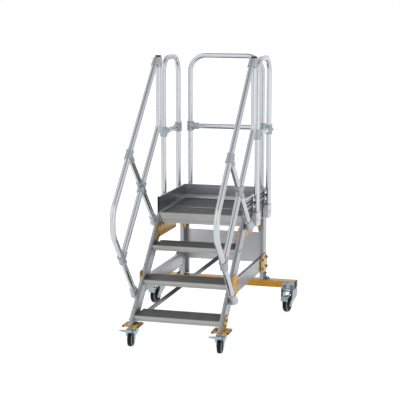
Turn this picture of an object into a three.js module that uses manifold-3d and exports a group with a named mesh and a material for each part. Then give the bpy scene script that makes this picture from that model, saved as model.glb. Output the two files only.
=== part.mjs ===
// Rolling warehouse ladder: three treads and a railed platform on four braked swivel casters.
// Millimetres, +Z up, +Y from the foot of the stairs towards the back, X across.
// Heights are above the floor. Inside the "stair frame" y = 0 is the line of the stair noses at
// platform level; the whole ladder is then moved along Y so that its box is centred on the origin.
import * as THREE from "three";
import { mergeVertices } from "three/addons/utils/BufferGeometryUtils.js";
import Module from "manifold-3d";

const wasm = await Module();
wasm.setup();

// ---------------------------------------------------------------- driving dimensions
const RISE = 205;               // height and going of one step: the stairs climb at 45 degrees
const TREAD_COUNT = 3;
const CLEAR_WIDTH = 600;        // between the stiles
const PROFILE_T = 27;           // thickness of the side profiles
const PROFILE_D = 100;          // depth of the side profiles
const WALL = 3;                 // wall of the hollow profiles
const GAP = 0.3;                // clearance between touching pieces

const PLATFORM_Z = (TREAD_COUNT + 1) * RISE;
const DECK_SKIN = 5;            // deck lip that lies over the platform frame
const DECK_H = 36;
const DECK_FRONT_Y = -15;
const DECK_JOINT_Y = 255;
const NOSING_H = 75;
const TREAD_D = 206;
const TREAD_H = 36;
const RIB_T = 3;

const PLATFORM_BACK_Y = 665;
const TOE_T = 15;
const TOE_TOP_Z = 930;
const TOE_WALL = 2;

const TUBE_R = 20;
const TUBE_WALL = 2;
const TUBE_SIDES = 12;
const BEND_STEPS = 6;           // facets in a right-angle bend
const SLEEVE_R = 27;            // outside of the cast clamps
const SLEEVE_L = 70;
const BORE_R = (TUBE_R + GAP) / Math.cos(Math.PI / TUBE_SIDES);

const RAIL_X = 352;             // plane of the side guards and stair rails
const GUARD_TOP_Z = 1910;       // centre line of the hoops' top bars
const GUARD_BOTTOM_Z = 712;
const GUARD_BEND_R = 120;
const SIDE_GUARD_Y = [235, 606];
const REAR_GUARD_X = 281;
const REAR_GUARD_Y = 690;
const MID_RAIL_Z = 1375;
const SOCKET_HALF = 29;
const SIDE_SOCKET_REACH = 72;    // how far a side socket reaches in front of its tube
const SOCKET_Z = [715, 814];

const HANDRAIL_RISE = 1838;     // handrail line above the nose line: z = y + HANDRAIL_RISE
const KNEE_RISE = 1317;
const HANDRAIL_FRONT_Y = -880;
const POST_Y = 115;
const POST_TOP_Z = 1934;
const RAIL_BEND_R = 140;
const RAIL_FOOT = [-448, 323];  // (y, z) where the handrail meets the stile
const LOWER_CLAMP = [-705, 612];
const UPPER_CLAMP_Y = -542;

const LEG_FRONT_Y = 565;
const LEG_LIP = 19;
const LEG_LIP_D = 25;
const BEAM = { halfLength: 577, front: 560, back: 640, bottom: 184, top: 234 };
const BASE_BEAM_Z = [318, 417];
const PLATE_T = 8;              // gold gussets and joint plates

const FRONT_CASTER = {
  x: 314, y: -618, top: 139, wheelR: 50, wheelW: 32, trail: 35, turn: 4.5,
  crownZ: 108, crownY: [-36, 54], legY: [-48, 56], crownHalf: 33,
  axleLegHalf: 22, legBendZ: [76, 102], hinge: [-44, 118],
};
const REAR_CASTER = {
  x: 522, y: 608, top: 180, wheelR: 62.5, wheelW: 34, trail: 40, turn: -9.5,
  crownZ: 170, crownY: [-50, 46], legY: [-52, 46], crownHalf: 47,
  axleLegHalf: 27, legBendZ: [62, 108], hinge: [-44, 158],
};

const RAIL_INNER_X = CLEAR_WIDTH / 2;
const RAIL_OUTER_X = RAIL_INNER_X + PROFILE_T;
const FRAME_TOP_Z = PLATFORM_Z - DECK_SKIN;
const FRAME_BOTTOM_Z = FRAME_TOP_Z - PROFILE_D;
const STILE_REAR_RISE = PLATFORM_Z - PROFILE_D * Math.SQRT2;
const FOOT_PLATE_Z = [139, 147];
const FOOT_PLATE_Y = -602;
const BOX_Y = [HANDRAIL_FRONT_Y - TUBE_R, REAR_GUARD_Y + SOCKET_HALF];
const ORIGIN_SHIFT = -(BOX_Y[0] + BOX_Y[1]) / 2;

// ---------------------------------------------------------------- materials
const metal = (color, roughness, metalness) =>
  new THREE.MeshStandardMaterial({ color, roughness, metalness });
const MATERIALS = {
  profile: () => metal(0xa7abae, 0.35, 0.9),
  tread: () => metal(0x77797b, 0.4, 0.85),
  tube: () => metal(0xd2d5d9, 0.28, 0.95),
  cast: () => metal(0x97a3a6, 0.5, 0.8),
  gold: () => metal(0xc98f2e, 0.45, 0.55),
  zinc: () => metal(0xa3b2ba, 0.35, 0.9),
  sheet: () => metal(0xb4b8bc, 0.3, 0.9),
  tyre: () => metal(0x1c1d1e, 0.7, 0.0),
};

// ---------------------------------------------------------------- solids
function toSolid(geometry) {
  const bare = geometry.clone();
  bare.deleteAttribute("normal");
  bare.deleteAttribute("uv");
  const merged = mergeVertices(bare, 1e-4);
  return new wasm.Manifold(new wasm.Mesh({
    numProp: 3,
    vertProperties: new Float32Array(merged.attributes.position.array),
    triVerts: new Uint32Array(merged.index.array),
  }));
}

function toGeometry(solid) {
  const mesh = solid.getMesh();
  const geometry = new THREE.BufferGeometry();
  geometry.setAttribute("position", new THREE.BufferAttribute(new Float32Array(mesh.vertProperties), 3));
  geometry.setIndex(new THREE.BufferAttribute(new Uint32Array(mesh.triVerts), 1));
  geometry.computeVertexNormals();
  return geometry;
}

const join = (...solids) => solids.reduce((sum, solid) => sum.add(solid));
const cut = (solid, ...tools) => tools.reduce((rest, tool) => rest.subtract(tool), solid);

function extruded(points, depth, holes = []) {
  const shape = new THREE.Shape(points.map(([a, b]) => new THREE.Vector2(a, b)));
  for (const hole of holes) {
    shape.holes.push(new THREE.Path(hole.map(([a, b]) => new THREE.Vector2(a, b))));
  }
  return new THREE.ExtrudeGeometry(shape, { depth, bevelEnabled: false });
}

// An outline in (y, z), pushed from one x to another.
function sidePlate(points, xFrom, xTo, holes) {
  const geometry = extruded(points, xTo - xFrom, holes);
  geometry.applyMatrix4(new THREE.Matrix4().makeBasis(
    new THREE.Vector3(0, 1, 0), new THREE.Vector3(0, 0, 1), new THREE.Vector3(1, 0, 0)));
  geometry.translate(xFrom, 0, 0);
  return toSolid(geometry);
}

// An outline in (x, z), pushed from one y to another.
function frontPlate(points, yFrom, yTo) {
  const geometry = extruded(points, yTo - yFrom);
  geometry.applyMatrix4(new THREE.Matrix4().makeBasis(
    new THREE.Vector3(1, 0, 0), new THREE.Vector3(0, 0, 1), new THREE.Vector3(0, -1, 0)));
  geometry.translate(0, yTo, 0);
  return toSolid(geometry);
}

function block([x0, x1], [y0, y1], [z0, z1]) {
  const geometry = new THREE.BoxGeometry(x1 - x0, y1 - y0, z1 - z0);
  geometry.translate((x0 + x1) / 2, (y0 + y1) / 2, (z0 + z1) / 2);
  return toSolid(geometry);
}

// A round bar or cone between two points.
function rod(from, to, radiusFrom, radiusTo = radiusFrom, sides = TUBE_SIDES) {
  const start = new THREE.Vector3(...from);
  const along = new THREE.Vector3(...to).sub(start);
  const geometry = new THREE.CylinderGeometry(radiusTo, radiusFrom, along.length(), sides);
  const turn = new THREE.Quaternion().setFromUnitVectors(
    new THREE.Vector3(0, 1, 0), along.clone().normalize());
  geometry.applyQuaternion(turn);
  const middle = start.addScaledVector(along, 0.5);
  geometry.translate(middle.x, middle.y, middle.z);
  return toSolid(geometry);
}

// ---------------------------------------------------------------- bent tubes
// A path through given corners with a round bend at each one. A sweep along it puts one
// section at every vertex, square to the path, so bends are round and straights are plain.
class BentPath extends THREE.Curve {
  constructor(corners, bendRadius) {
    super();
    const points = corners.map((corner) => new THREE.Vector3(...corner));
    this.vertices = [points[0]];
    for (let i = 1; i < points.length - 1; i += 1) {
      this.vertices.push(...BentPath.bend(points[i - 1], points[i], points[i + 1], bendRadius));
    }
    this.vertices.push(points[points.length - 1]);
  }

  static bend(before, corner, after, radius) {
    const incoming = corner.clone().sub(before).normalize();
    const outgoing = after.clone().sub(corner).normalize();
    const angle = incoming.angleTo(outgoing);
    const setback = radius * Math.tan(angle / 2);
    const inward = outgoing.clone().sub(incoming).normalize();
    const centre = corner.clone().addScaledVector(inward, radius / Math.cos(angle / 2));
    const start = corner.clone().addScaledVector(incoming, -setback).sub(centre);
    const axis = incoming.clone().cross(outgoing).normalize();
    const steps = Math.max(2, Math.round((BEND_STEPS * angle) / (Math.PI / 2)));
    return Array.from({ length: steps + 1 }, (_, i) =>
      start.clone().applyAxisAngle(axis, (angle * i) / steps).add(centre));
  }

  get steps() { return this.vertices.length - 1; }

  getPointAt(u, target = new THREE.Vector3()) {
    return target.copy(this.vertices[Math.round(u * this.steps)]);
  }

  getTangentAt(u, target = new THREE.Vector3()) {
    const i = Math.round(u * this.steps);
    const before = this.vertices[Math.max(i - 1, 0)];
    const here = this.vertices[i];
    const after = this.vertices[Math.min(i + 1, this.steps)];
    const into = here.clone().sub(before).normalize();
    const out = after.clone().sub(here).normalize();
    return target.copy(into).add(out).normalize();
  }
}

function ring(radius) {
  return Array.from({ length: TUBE_SIDES }, (_, i) => {
    const angle = (2 * Math.PI * i) / TUBE_SIDES;
    return new THREE.Vector2(radius * Math.cos(angle), radius * Math.sin(angle));
  });
}

function tube(corners, bendRadius = RAIL_BEND_R) {
  const path = new BentPath(corners, bendRadius);
  const section = new THREE.Shape(ring(TUBE_R));
  section.holes.push(new THREE.Path(ring(TUBE_R - TUBE_WALL)));
  return toSolid(new THREE.ExtrudeGeometry(section, { steps: path.steps, extrudePath: path }));
}

// ---------------------------------------------------------------- naming and mirroring
const ladder = new THREE.Group();

function put(name, solid, material, parent = ladder) {
  const mesh = new THREE.Mesh(toGeometry(solid), material());
  mesh.name = name;
  parent.add(mesh);
  return mesh;
}

function mirroredSolid(solid) {
  const geometry = toGeometry(solid);
  geometry.scale(-1, 1, 1);
  const index = geometry.index.array;
  for (let i = 0; i < index.length; i += 3) {
    [index[i], index[i + 1]] = [index[i + 1], index[i]];
  }
  return toSolid(geometry);
}

// Puts a piece drawn on the right (+X) side, and its mirror image on the left.
function putPair(name, solid, material) {
  put(`${name}_right`, solid, material);
  put(`${name}_left`, mirroredSolid(solid), material);
}

// ---------------------------------------------------------------- stairs
// The stile's front edge is the nose line z = y + PLATFORM_Z.
function stile() {
  const bottom = FOOT_PLATE_Z[1] + GAP;
  const outline = [
    [bottom - PLATFORM_Z, bottom],
    [bottom - STILE_REAR_RISE, bottom],
    [FRAME_BOTTOM_Z - STILE_REAR_RISE, FRAME_BOTTOM_Z],
    [FRAME_BOTTOM_Z - STILE_REAR_RISE, FRAME_TOP_Z],
    [FRAME_TOP_Z - PLATFORM_Z, FRAME_TOP_Z],
  ];
  const inset = WALL * Math.SQRT2;
  const [low, high] = [0, PLATFORM_Z + RISE];
  const hollow = [
    [low - PLATFORM_Z + inset, low],
    [low - STILE_REAR_RISE - inset, low],
    [high - STILE_REAR_RISE - inset, high],
    [high - PLATFORM_Z + inset, high],
  ];
  return cut(
    sidePlate(outline, RAIL_INNER_X, RAIL_OUTER_X),
    sidePlate(hollow, RAIL_INNER_X + WALL, RAIL_OUTER_X - WALL));
}

// A step profile seen from the side: a top skin with a front fascia, a back lip and ribs below.
function stepOutline(front, back, top, height, fascia, ribCount) {
  const skin = top - RIB_T;
  const points = [[front, top], [front, top - fascia], [front + RIB_T, top - fascia]];
  const pitch = (back - front - RIB_T) / (ribCount + 1);
  for (let i = 1; i <= ribCount; i += 1) {
    const y = front + i * pitch;
    points.push([y - RIB_T, skin], [y - RIB_T, top - height], [y, top - height], [y, skin]);
  }
  points.splice(3, 0, [front + RIB_T, skin]);
  points.push([back - RIB_T, skin], [back - RIB_T, top - height], [back, top - height], [back, top]);
  return points;
}

function tread(index) {
  const top = index * RISE;
  const front = top - PLATFORM_Z;
  const outline = stepOutline(front, front + TREAD_D, top, TREAD_H, TREAD_H, 2);
  return sidePlate(outline, GAP - RAIL_INNER_X, RAIL_INNER_X - GAP);
}

// ---------------------------------------------------------------- platform
const DECK_HALF = RAIL_OUTER_X - TOE_T - GAP;

function deckPlank(front, back, fascia) {
  const webs = sidePlate(
    stepOutline(front, back, PLATFORM_Z, DECK_H, fascia, 3), GAP - RAIL_INNER_X, RAIL_INNER_X - GAP);
  const lipFront = Math.max(front, GAP - DECK_SKIN);
  const lip = block([-DECK_HALF, DECK_HALF], [lipFront, back],
    [FRAME_TOP_Z + GAP, PLATFORM_Z]);
  return join(webs, lip);
}

function guardSocket(x, y) {
  const inset = 2;
  const [dx, dy] = Math.abs(x) > RAIL_OUTER_X
    ? [[RAIL_OUTER_X - inset, x + TUBE_R + 4], [y - SIDE_SOCKET_REACH, y + TUBE_R + 4]]
    : [[x - SOCKET_HALF, x + SOCKET_HALF], [PLATFORM_BACK_Y - inset, y + SOCKET_HALF]];
  return block(dx, dy, SOCKET_Z);
}

function platformFrame() {
  const frontY = FRAME_BOTTOM_Z - STILE_REAR_RISE + GAP;
  const z = [FRAME_BOTTOM_Z, FRAME_TOP_Z];
  const sideBeam = cut(
    block([RAIL_INNER_X, RAIL_OUTER_X], [frontY, PLATFORM_BACK_Y], z),
    block([RAIL_INNER_X + WALL, RAIL_OUTER_X - WALL], [frontY - 1, PLATFORM_BACK_Y - PROFILE_T],
      [z[0] + WALL, z[1] - WALL]));
  const rightSockets = SIDE_GUARD_Y.map((y) => guardSocket(RAIL_X, y));
  const rightBores = SIDE_GUARD_Y.map((y) =>
    rod([RAIL_X, y, SOCKET_Z[0] - 1], [RAIL_X, y, SOCKET_Z[1] + 1], BORE_R));
  const side = join(sideBeam, ...rightSockets);
  const rearBeam = cut(
    block([-RAIL_OUTER_X, RAIL_OUTER_X], [PLATFORM_BACK_Y - PROFILE_T, PLATFORM_BACK_Y], z),
    block([WALL - RAIL_INNER_X, RAIL_INNER_X - WALL],
      [PLATFORM_BACK_Y - PROFILE_T - 1, PLATFORM_BACK_Y - WALL], [z[0] + WALL, z[1] - WALL]));
  const rearSockets = [-REAR_GUARD_X, REAR_GUARD_X].map((x) => guardSocket(x, REAR_GUARD_Y));
  const rearBores = [-REAR_GUARD_X, REAR_GUARD_X].map((x) =>
    rod([x, REAR_GUARD_Y, SOCKET_Z[0] - 1], [x, REAR_GUARD_Y, SOCKET_Z[1] + 1], BORE_R));
  return cut(
    join(rearBeam, side, mirroredSolid(side), ...rearSockets),
    ...rightBores, ...rightBores.map(mirroredSolid), ...rearBores);
}

const TOE_Z = [FRAME_TOP_Z + GAP, TOE_TOP_Z];

const TOE_HOLLOW_Z = [TOE_Z[0] + TOE_WALL, TOE_Z[1] - TOE_WALL];

function toeBoardSide() {
  const back = PLATFORM_BACK_Y - TOE_T - GAP;
  return cut(
    block([RAIL_OUTER_X - TOE_T, RAIL_OUTER_X], [0, back], TOE_Z),
    block([RAIL_OUTER_X - TOE_T + TOE_WALL, RAIL_OUTER_X - TOE_WALL], [-1, back + 1], TOE_HOLLOW_Z));
}

function toeBoardRear() {
  const end = RAIL_OUTER_X + 1;
  return cut(
    block([-RAIL_OUTER_X, RAIL_OUTER_X], [PLATFORM_BACK_Y - TOE_T, PLATFORM_BACK_Y], TOE_Z),
    block([-end, end], [PLATFORM_BACK_Y - TOE_T + TOE_WALL, PLATFORM_BACK_Y - TOE_WALL],
      TOE_HOLLOW_Z));
}

// Gold plate on the inner faces of the stile and the platform side beam.
function stileGusset() {
  const [low, back, chamfer] = [650, 350, 12];
  const high = PLATFORM_Z - NOSING_H - GAP;
  const outline = [
    [low - PLATFORM_Z + chamfer, low],
    [back - chamfer, low],
    [back, low + chamfer],
    [back, high],
    [high - PLATFORM_Z + chamfer, high],
  ];
  return sidePlate(outline, RAIL_INNER_X - GAP - PLATE_T, RAIL_INNER_X - GAP);
}

// Gold plate on the inner faces of the rear leg and the platform side beam.
function legGusset() {
  const [low, slopeTop, front] = [600, 660, 505];
  const high = FRAME_TOP_Z - DECK_H - GAP;
  const back = PLATFORM_BACK_Y - PROFILE_T - GAP;
  const outline = [
    [LEG_FRONT_Y - 5, low], [back, low], [back, high], [front, high], [front, slopeTop],
  ];
  return sidePlate(outline, RAIL_INNER_X - GAP - PLATE_T, RAIL_INNER_X - GAP);
}

// ---------------------------------------------------------------- base
function rearLeg() {
  const z = [BEAM.top + GAP, FRAME_BOTTOM_Z - GAP];
  const body = cut(
    block([RAIL_INNER_X, RAIL_OUTER_X], [LEG_FRONT_Y, PLATFORM_BACK_Y], z),
    block([RAIL_INNER_X + WALL, RAIL_OUTER_X - WALL],
      [LEG_FRONT_Y + WALL, PLATFORM_BACK_Y - WALL], [z[0] - 1, z[1] + 1]));
  const lip = block([RAIL_INNER_X - LEG_LIP, RAIL_INNER_X + WALL],
    [PLATFORM_BACK_Y - LEG_LIP_D + 2, PLATFORM_BACK_Y], z);
  return join(body, lip);
}

function baseBeam() {
  const [low, high] = BASE_BEAM_Z;
  const back = LEG_FRONT_Y - GAP;
  const outline = [
    [low - STILE_REAR_RISE + GAP, low], [back, low], [back, high],
    [high - STILE_REAR_RISE + GAP, high],
  ];
  const farFront = low - PLATFORM_Z;
  return cut(
    sidePlate(outline, RAIL_INNER_X, RAIL_OUTER_X),
    block([RAIL_INNER_X + WALL, RAIL_OUTER_X - WALL], [farFront, back + 1],
      [low + WALL, high - WALL]));
}

// Gold plates on the outer faces, over the joints of the base beam.
function stilePlate() {
  const outline = [
    [-392, 345], [-318, 312], [-232, 322], [-226, 430], [-308, 470], [-392, 462],
  ];
  return sidePlate(outline, RAIL_OUTER_X + GAP, RAIL_OUTER_X + GAP + PLATE_T);
}

function legPlate() {
  const outline = [
    [470, 318], [500, 300], [655, 300], [660, 310], [660, 405], [635, 432], [500, 432], [470, 410],
  ];
  return sidePlate(outline, RAIL_OUTER_X + GAP, RAIL_OUTER_X + GAP + PLATE_T);
}

function stabiliserBeam() {
  const { halfLength, front, back, bottom, top } = BEAM;
  const outline = [[front, bottom], [back, bottom], [back, top], [front, top]];
  const hole = [
    [front + WALL, bottom + WALL], [front + WALL, top - WALL],
    [back - WALL, top - WALL], [back - WALL, bottom + WALL],
  ];
  return sidePlate(outline, -halfLength, halfLength, [hole]);
}

// Zinc angle with a web, between the leg's outer face and the top of the stabiliser beam.
function legClamp() {
  const [thick, height, reach] = [4, 62, 40];
  const x = RAIL_OUTER_X + GAP;
  const z = BEAM.top + GAP;
  const flange = block([x, x + thick], [572, 632], [z, z + height]);
  const foot = block([x, x + reach], [572, 632], [z, z + thick]);
  const web = frontPlate(
    [[x + 1, z + 1], [x + reach - 6, z + 1], [x + 1, z + height - 8]], 600, 600 + thick);
  return join(flange, foot, web);
}

function rearPanel() {
  const half = RAIL_INNER_X - LEG_LIP - GAP;
  const front = PLATFORM_BACK_Y - LEG_LIP_D + 2;
  const sheet = block([-half, half], [front, front + 3], [353, 582]);
  const folds = [[353, 356], [579, 582]].map((z) => block([-half, half], [front, front + 16], z));
  return join(sheet, ...folds);
}

// Flat bar in a plane parallel to the stairs, just behind the treads, from low left to high right.
function diagonalBrace() {
  const [halfWidth, thick, planeRise] = [15, 8, 566];
  const from = new THREE.Vector3(-288, 173 - planeRise, 173);
  const to = new THREE.Vector3(288, 640 - planeRise, 640);
  const along = to.clone().sub(from);
  const normal = new THREE.Vector3(0, -1, 1).normalize();
  const across = normal.clone().cross(along.clone().normalize());
  const geometry = new THREE.BoxGeometry(along.length(), 2 * halfWidth, thick);
  geometry.applyMatrix4(new THREE.Matrix4().makeBasis(along.clone().normalize(), across, normal));
  const middle = from.add(to).multiplyScalar(0.5);
  geometry.translate(middle.x, middle.y, middle.z);
  return toSolid(geometry);
}

// Gold foot: a plate over the caster with a tapered flange on the stile's outer face,
// and the caster's own mounting plate with its kingpin boss below.
function frontFoot() {
  const { x, y, top } = FRONT_CASTER;
  const [halfX, halfY] = [58, 53];
  const plate = block([x - halfX, x + halfX], [FOOT_PLATE_Y - halfY, FOOT_PLATE_Y + halfY],
    FOOT_PLATE_Z);
  const low = FOOT_PLATE_Z[1] - 3;
  const flange = sidePlate(
    [[-650, low], [-550, low], [-500, low + 50], [-506, low + 86], [-572, low + 86]],
    RAIL_OUTER_X + GAP, RAIL_OUTER_X + GAP + 6);
  const mount = block([x - 50, x + 50], [y - 30, y + 42], [top - 4, top + 1]);
  return join(plate, flange, mount);
}

// ---------------------------------------------------------------- guards and rails
function hoop(corners) {
  return tube(corners, GUARD_BEND_R);
}

function sideGuard() {
  const [front, back] = SIDE_GUARD_Y;
  return hoop([
    [RAIL_X, front, GUARD_BOTTOM_Z], [RAIL_X, front, GUARD_TOP_Z],
    [RAIL_X, back, GUARD_TOP_Z], [RAIL_X, back, GUARD_BOTTOM_Z],
  ]);
}

function rearGuard() {
  const y = REAR_GUARD_Y;
  return hoop([
    [-REAR_GUARD_X, y, GUARD_BOTTOM_Z], [-REAR_GUARD_X, y, GUARD_TOP_Z],
    [REAR_GUARD_X, y, GUARD_TOP_Z], [REAR_GUARD_X, y, GUARD_BOTTOM_Z],
  ]);
}

// A cast sleeve round a tube at one point, with a branch towards another.
function sleeve(centre, axis) {
  const middle = new THREE.Vector3(...centre);
  const half = new THREE.Vector3(...axis).normalize().multiplyScalar(SLEEVE_L / 2);
  return rod(middle.clone().sub(half).toArray(), middle.clone().add(half).toArray(), SLEEVE_R);
}

function bore(centre, axis, length = SLEEVE_L + 2) {
  const middle = new THREE.Vector3(...centre);
  const half = new THREE.Vector3(...axis).normalize().multiplyScalar(length / 2);
  return rod(middle.clone().sub(half).toArray(), middle.clone().add(half).toArray(), BORE_R);
}

// A mid rail with a T clamp at each end, round the legs of a hoop.
function midRail(from, to) {
  const start = new THREE.Vector3(...from);
  const end = new THREE.Vector3(...to);
  const along = end.clone().sub(start).normalize();
  const reach = SLEEVE_L * 0.72;
  const bar = rod(from, to, TUBE_R);
  const branches = [
    rod(from, start.clone().addScaledVector(along, reach).toArray(), SLEEVE_R - 2),
    rod(to, end.clone().addScaledVector(along, -reach).toArray(), SLEEVE_R - 2),
  ];
  const up = [0, 0, 1];
  return cut(
    join(bar, ...branches, sleeve(from, up), sleeve(to, up)),
    bore(from, up), bore(to, up), rod(from, to, TUBE_R - TUBE_WALL));
}

const onHandrail = (y) => [RAIL_X, y, y + HANDRAIL_RISE];
const onKneeRail = (y) => [RAIL_X, y, y + KNEE_RISE];
const UPHILL = [0, 1, 1];
const ACROSS = [0, -1, 1];

const footPoint = [RAIL_X, ...RAIL_FOOT];
const lowerClampPoint = [RAIL_X, ...LOWER_CLAMP];
const lowerAxis = [0, LOWER_CLAMP[0] - RAIL_FOOT[0], LOWER_CLAMP[1] - RAIL_FOOT[1]];
const upperClampPoint = onHandrail(UPPER_CLAMP_Y);
// The brace runs square to the stairs from the handrail, across the knee rail, to the stile.
const CROSS_Y = UPPER_CLAMP_Y + (HANDRAIL_RISE - KNEE_RISE) / 2;
const BRACE_FOOT_RISE = 756;
const BRACE_FOOT_Y = UPPER_CLAMP_Y + (HANDRAIL_RISE - BRACE_FOOT_RISE) / 2;
const middleClampPoint = onKneeRail(CROSS_Y);
const braceFootPoint = [RAIL_X, BRACE_FOOT_Y, BRACE_FOOT_Y + BRACE_FOOT_RISE];

// Bell-shaped cast foot round the end of a tube, flat where it seats on the stile.
function castFoot(point, direction) {
  const [above, below, narrow, wide] = [52, 26, 26, 35];
  const centre = new THREE.Vector3(...point);
  const away = new THREE.Vector3(...direction).normalize();
  const top = centre.clone().addScaledVector(away, above).toArray();
  const bottom = centre.clone().addScaledVector(away, -below).toArray();
  const seat = block([RAIL_INNER_X - wide, RAIL_OUTER_X + GAP],
    [centre.y - 2 * wide, centre.y + 2 * wide], [centre.z - 2 * wide, centre.z + 2 * wide]);
  return cut(rod(bottom, top, wide, narrow), seat);
}

function handrail() {
  const frontLine = (HANDRAIL_FRONT_Y - LOWER_CLAMP[0]) / lowerAxis[1];
  const lowCorner = LOWER_CLAMP[1] + frontLine * lowerAxis[2];
  const pipe = tube([
    footPoint,
    [RAIL_X, HANDRAIL_FRONT_Y, lowCorner],
    onHandrail(HANDRAIL_FRONT_Y),
    onHandrail(68),
  ]);
  return join(pipe, castFoot(footPoint, lowerAxis));
}

function kneeRail() {
  const start = LOWER_CLAMP[0] + (TUBE_R + 3) / Math.SQRT2;
  return tube([
    onKneeRail(start), onKneeRail(POST_Y), [RAIL_X, POST_Y, POST_TOP_Z],
  ], 100);
}

function lowerClamp() {
  const branchEnd = onKneeRail(LOWER_CLAMP[0] + 44);
  return cut(
    join(sleeve(lowerClampPoint, lowerAxis), rod(lowerClampPoint, branchEnd, SLEEVE_R)),
    bore(lowerClampPoint, lowerAxis),
    rod(lowerClampPoint, onKneeRail(LOWER_CLAMP[0] + 46), BORE_R));
}

// Cap casting that ties the end of the handrail to the top of the post.
function topClamp() {
  const post = [RAIL_X, POST_Y, 1886];
  const railEnd = onHandrail(30);
  return cut(
    join(sleeve(post, [0, 0, 1]), rod(railEnd, onHandrail(76), SLEEVE_R - 1)),
    bore(post, [0, 0, 1], 3 * SLEEVE_L), rod(onHandrail(20), onHandrail(69), BORE_R));
}

function railBrace() {
  const reach = 50;
  const step = reach / Math.SQRT2;
  const shifted = ([x, y, z], d) => [x, y + d, z - d];
  const pieces = [
    rod(upperClampPoint, braceFootPoint, TUBE_R),
    sleeve(upperClampPoint, UPHILL),
    rod(upperClampPoint, shifted(upperClampPoint, step), SLEEVE_R - 2),
    sleeve(middleClampPoint, UPHILL),
    rod(shifted(middleClampPoint, -step), shifted(middleClampPoint, step), SLEEVE_R - 2),
    castFoot(braceFootPoint, ACROSS),
  ];
  return cut(
    join(...pieces),
    bore(upperClampPoint, UPHILL), bore(middleClampPoint, UPHILL),
    rod(upperClampPoint, braceFootPoint, TUBE_R - TUBE_WALL));
}

// ---------------------------------------------------------------- casters
// Drawn about the swivel axis, wheel towards -Y; z is the height above the floor.
const LEG_T = 3;
const AXLE_R = 6;
const RACE_R = 32;

function casterFork(c) {
  const crownTop = c.crownZ + 4;
  const crown = join(
    block([-c.crownHalf, c.crownHalf], c.crownY, [c.crownZ, crownTop]),
    rod([0, 0, c.crownZ + 1], [0, 0, c.top - 4.5], RACE_R, RACE_R, 2 * TUBE_SIDES));
  const [front, back] = c.legY;
  const side = sidePlate([
    [front, crownTop], [front, c.wheelR + 20], [-c.trail - 13, c.wheelR - 12],
    [-c.trail + 13, c.wheelR - 12], [back, c.legBendZ[1]], [back, crownTop],
  ], -c.crownHalf - 1, c.crownHalf + 1);
  const [bendLow, bendHigh] = c.legBendZ;
  const legFront = [
    [c.crownHalf, crownTop], [c.crownHalf - LEG_T, crownTop], [c.crownHalf - LEG_T, bendHigh],
    [c.axleLegHalf - LEG_T, bendLow], [c.axleLegHalf - LEG_T, 0],
    [c.axleLegHalf, 0], [c.axleLegHalf, bendLow], [c.crownHalf, bendHigh],
  ];
  const leg = frontPlate(legFront, front - 1, back + 1).intersect(side);
  const axle = rod([-c.axleLegHalf - 5, -c.trail, c.wheelR], [c.axleLegHalf + 5, -c.trail, c.wheelR],
    AXLE_R);
  const heads = [-1, 1].map((s) => rod(
    [s * (c.axleLegHalf - 1), -c.trail, c.wheelR], [s * (c.axleLegHalf + 5), -c.trail, c.wheelR], 10));
  return join(crown, leg, mirroredSolid(leg), axle, ...heads);
}

function casterWheel(c) {
  const half = c.wheelW / 2;
  const hubHalf = half + 1.5;
  const bevel = 5;
  const profile = [
    [AXLE_R + GAP, -hubHalf], [14, -hubHalf], [14, -half + 7], [c.wheelR - 14, -half + 7],
    [c.wheelR - 14, -half], [c.wheelR - bevel, -half], [c.wheelR, -half + bevel],
    [c.wheelR, half - bevel], [c.wheelR - bevel, half], [c.wheelR - 14, half],
    [c.wheelR - 14, half - 7], [14, half - 7], [14, hubHalf], [AXLE_R + GAP, hubHalf],
    [AXLE_R + GAP, -hubHalf],
  ].map(([r, h]) => new THREE.Vector2(r, h));
  const geometry = new THREE.LatheGeometry(profile, 2 * TUBE_SIDES);
  geometry.rotateZ(-Math.PI / 2);
  geometry.translate(0, -c.trail, c.wheelR);
  return toSolid(geometry);
}

const PEDAL_T = 3;

// Front foot lever: a flat tongue that rises a little and points out past one side of the fork.
function frontPedal({ hinge: [y, z], crownHalf }) {
  const outline = [
    [-17, y], [17, y], [17, y - 36], [-42, y - 66], [-65, y - 64], [-67, y - 50], [-17, y - 26],
  ];
  const geometry = extruded(outline, PEDAL_T);
  const position = geometry.attributes.position;
  const slope = 0.16;
  for (let i = 0; i < position.count; i += 1) {
    position.setZ(i, position.getZ(i) + z - PEDAL_T / 2 + slope * (y - position.getY(i)));
  }
  const reach = crownHalf - LEG_T - 1;
  return join(toSolid(geometry), rod([-reach, y, z], [reach, y, z], 4));
}

// Rear brake lever: two arms from the hinge to an apron in front of the wheel.
function rearPedal({ hinge: [y, z], crownHalf }) {
  const [armX, armT] = [24, 4];
  const arm = sidePlate(
    [[y - 5, z + 4], [y - 5, z - 8], [y - 56, z - 39], [y - 61, z - 31]], armX, armX + armT);
  const apron = sidePlate(
    [[y - 57, z - 31], [y - 67, z - 66], [y - 70, z - 65], [y - 61, z - 30]],
    -armX - armT, armX + armT);
  const reach = crownHalf - LEG_T - 1;
  const barrel = rod([-reach, y, z], [reach, y, z], 6);
  return join(barrel, arm, mirroredSolid(arm), apron);
}

// Zinc bracket: an angle bolted to the front of the stabiliser beam, with the caster's own
// mounting plate below it.
function rearCasterBracket() {
  const { x, y, top } = REAR_CASTER;
  const halfX = 48;
  const front = BEAM.front - GAP - 4;
  const upright = block([x - halfX, x + halfX], [front, front + 4], [top, BEAM.top - 1]);
  const shelf = block([x - halfX, x + halfX], [front, y + 56], [top, BEAM.bottom - GAP]);
  const mount = block([x - 52, x + 52], [y - 55, y + 55], [top - 4, top + 1]);
  return join(upright, shelf, mount);
}

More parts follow.
